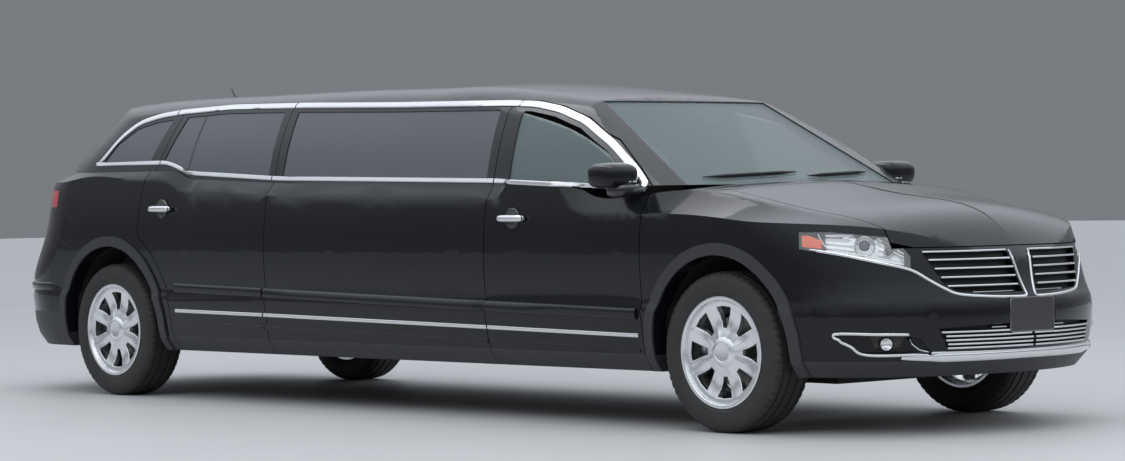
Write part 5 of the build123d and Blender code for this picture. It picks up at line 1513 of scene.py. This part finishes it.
class Stage(Builder):
    """Floor, lights and camera."""

    bl_idname = "limousine.stage"
    bl_label = "Stage"

    def execute(self, context):
        bm = bmesh.new()
        bmesh.ops.create_grid(bm, x_segments=8, y_segments=8, size=60)
        mesh = bpy.data.meshes.new("studio_floor")
        bm.to_mesh(mesh)
        bm.free()
        mesh.materials.append(MATERIALS["studio_floor"])
        floor = bpy.data.objects.new("studio_floor", mesh)
        context.scene.collection.objects.link(floor)
        self.world(context)
        self.light(context, "key", (6.0, -9.0, 8.5), (0.5, 0, 0.9), (16.0, 7.0), 520).visible_glossy = False
        self.light(context, "roof", (0.0, 0.0, 9.0), (0, 0, 0), (12.0, 5.0), 300)
        self.light(context, "fill", (14.0, 2.0, 5.0), (2.5, 0, 0.8), (6.0, 4.0), 160).visible_glossy = False
        self.camera(context)
        return {"FINISHED"}

    def world(self, context):
        world = bpy.data.worlds.new("studio")
        world.use_nodes = True
        tree = world.node_tree
        place = tree.nodes.new("ShaderNodeTexCoord")
        parts = tree.nodes.new("ShaderNodeSeparateXYZ")
        ramp = tree.nodes.new("ShaderNodeValToRGB")
        tree.links.new(place.outputs["Generated"], parts.inputs[0])
        tree.links.new(parts.outputs["Z"], ramp.inputs[0])
        tree.links.new(ramp.outputs[0], tree.nodes["Background"].inputs["Color"])
        ramp.color_ramp.interpolation = "EASE"
        ramp.color_ramp.elements[0].position = 0.04
        ramp.color_ramp.elements[0].color = HORIZON_COLOUR
        ramp.color_ramp.elements[1].position = 0.60
        ramp.color_ramp.elements[1].color = SKY_COLOUR
        tree.nodes["Background"].inputs["Strength"].default_value = SKY_STRENGTH
        context.scene.world = world

    def light(self, context, name, place, target, size, power):
        data = bpy.data.lights.new(name, "AREA")
        data.shape = "RECTANGLE"
        data.size, data.size_y = size
        data.energy = power
        lamp = bpy.data.objects.new(name, data)
        lamp.location = place
        lamp.rotation_euler = (Vector(target) - Vector(place)).to_track_quat("-Z", "Y").to_euler()
        context.scene.collection.objects.link(lamp)
        return lamp

    def camera(self, context):
        data = bpy.data.cameras.new("photo")
        data.sensor_width = SENSOR
        data.lens = CAMERA_FOCAL_PIXELS / PHOTO_WIDTH * SENSOR
        camera = bpy.data.objects.new("photo", data)
        yaw, pitch, roll = (radians(angle) for angle in (CAMERA_YAW, CAMERA_PITCH, CAMERA_ROLL))
        forward = Vector((cos(pitch) * cos(yaw), cos(pitch) * sin(yaw), sin(pitch)))
        right = Vector((sin(yaw), -cos(yaw), 0))
        up = right.cross(forward)
        turned_right = right * cos(roll) + up * sin(roll)
        turned_up = up * cos(roll) - right * sin(roll)
        matrix = Matrix((turned_right, turned_up, -forward)).transposed().to_4x4()
        camera.matrix_world = Matrix.Translation(Vector(CAMERA_PLACE)) @ matrix
        context.scene.collection.objects.link(camera)
        context.scene.camera = camera
        context.scene.view_settings.view_transform = "Standard"


OPERATORS = [
    BodyPanels, Glass, WindowTrim, SillTrim, NoseTrim, Grille, Lamps, Wheels, Mirrors, SmallTrim,
    Interior, Underbody, Stage,
]


class LimousinePanel(bpy.types.Panel):
    """Sizes, colours and builders of the limousine."""

    bl_idname = "VIEW3D_PT_limousine"
    bl_label = "Limousine"
    bl_space_type = "VIEW_3D"
    bl_region_type = "UI"
    bl_category = "Limousine"

    def draw(self, context):
        scene = context.scene
        for group in (scene.limousine_look, scene.limousine_trim, scene.limousine_wheels):
            for key in group.bl_rna.properties.keys():
                if key not in ("rna_type", "name"):
                    self.layout.prop(group, key)
        for operator in OPERATORS:
            self.layout.operator(operator.bl_idname)


CLASSES = [Look, Trim, WheelSizes, *OPERATORS, LimousinePanel]


def register():
    for kind in CLASSES:
        bpy.utils.register_class(kind)
    bpy.types.Scene.limousine_look = bpy.props.PointerProperty(type=Look)
    bpy.types.Scene.limousine_trim = bpy.props.PointerProperty(type=Trim)
    bpy.types.Scene.limousine_wheels = bpy.props.PointerProperty(type=WheelSizes)


def unregister():
    del bpy.types.Scene.limousine_look
    del bpy.types.Scene.limousine_trim
    del bpy.types.Scene.limousine_wheels
    for kind in reversed(CLASSES):
        bpy.utils.unregister_class(kind)


def main():
    """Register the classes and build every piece."""
    register()
    make_materials(bpy.context.scene.limousine_look)
    for operator in OPERATORS:
        group, action = operator.bl_idname.split(".")
        getattr(getattr(bpy.ops, group), action)()


if __name__ == "__main__":
    main()
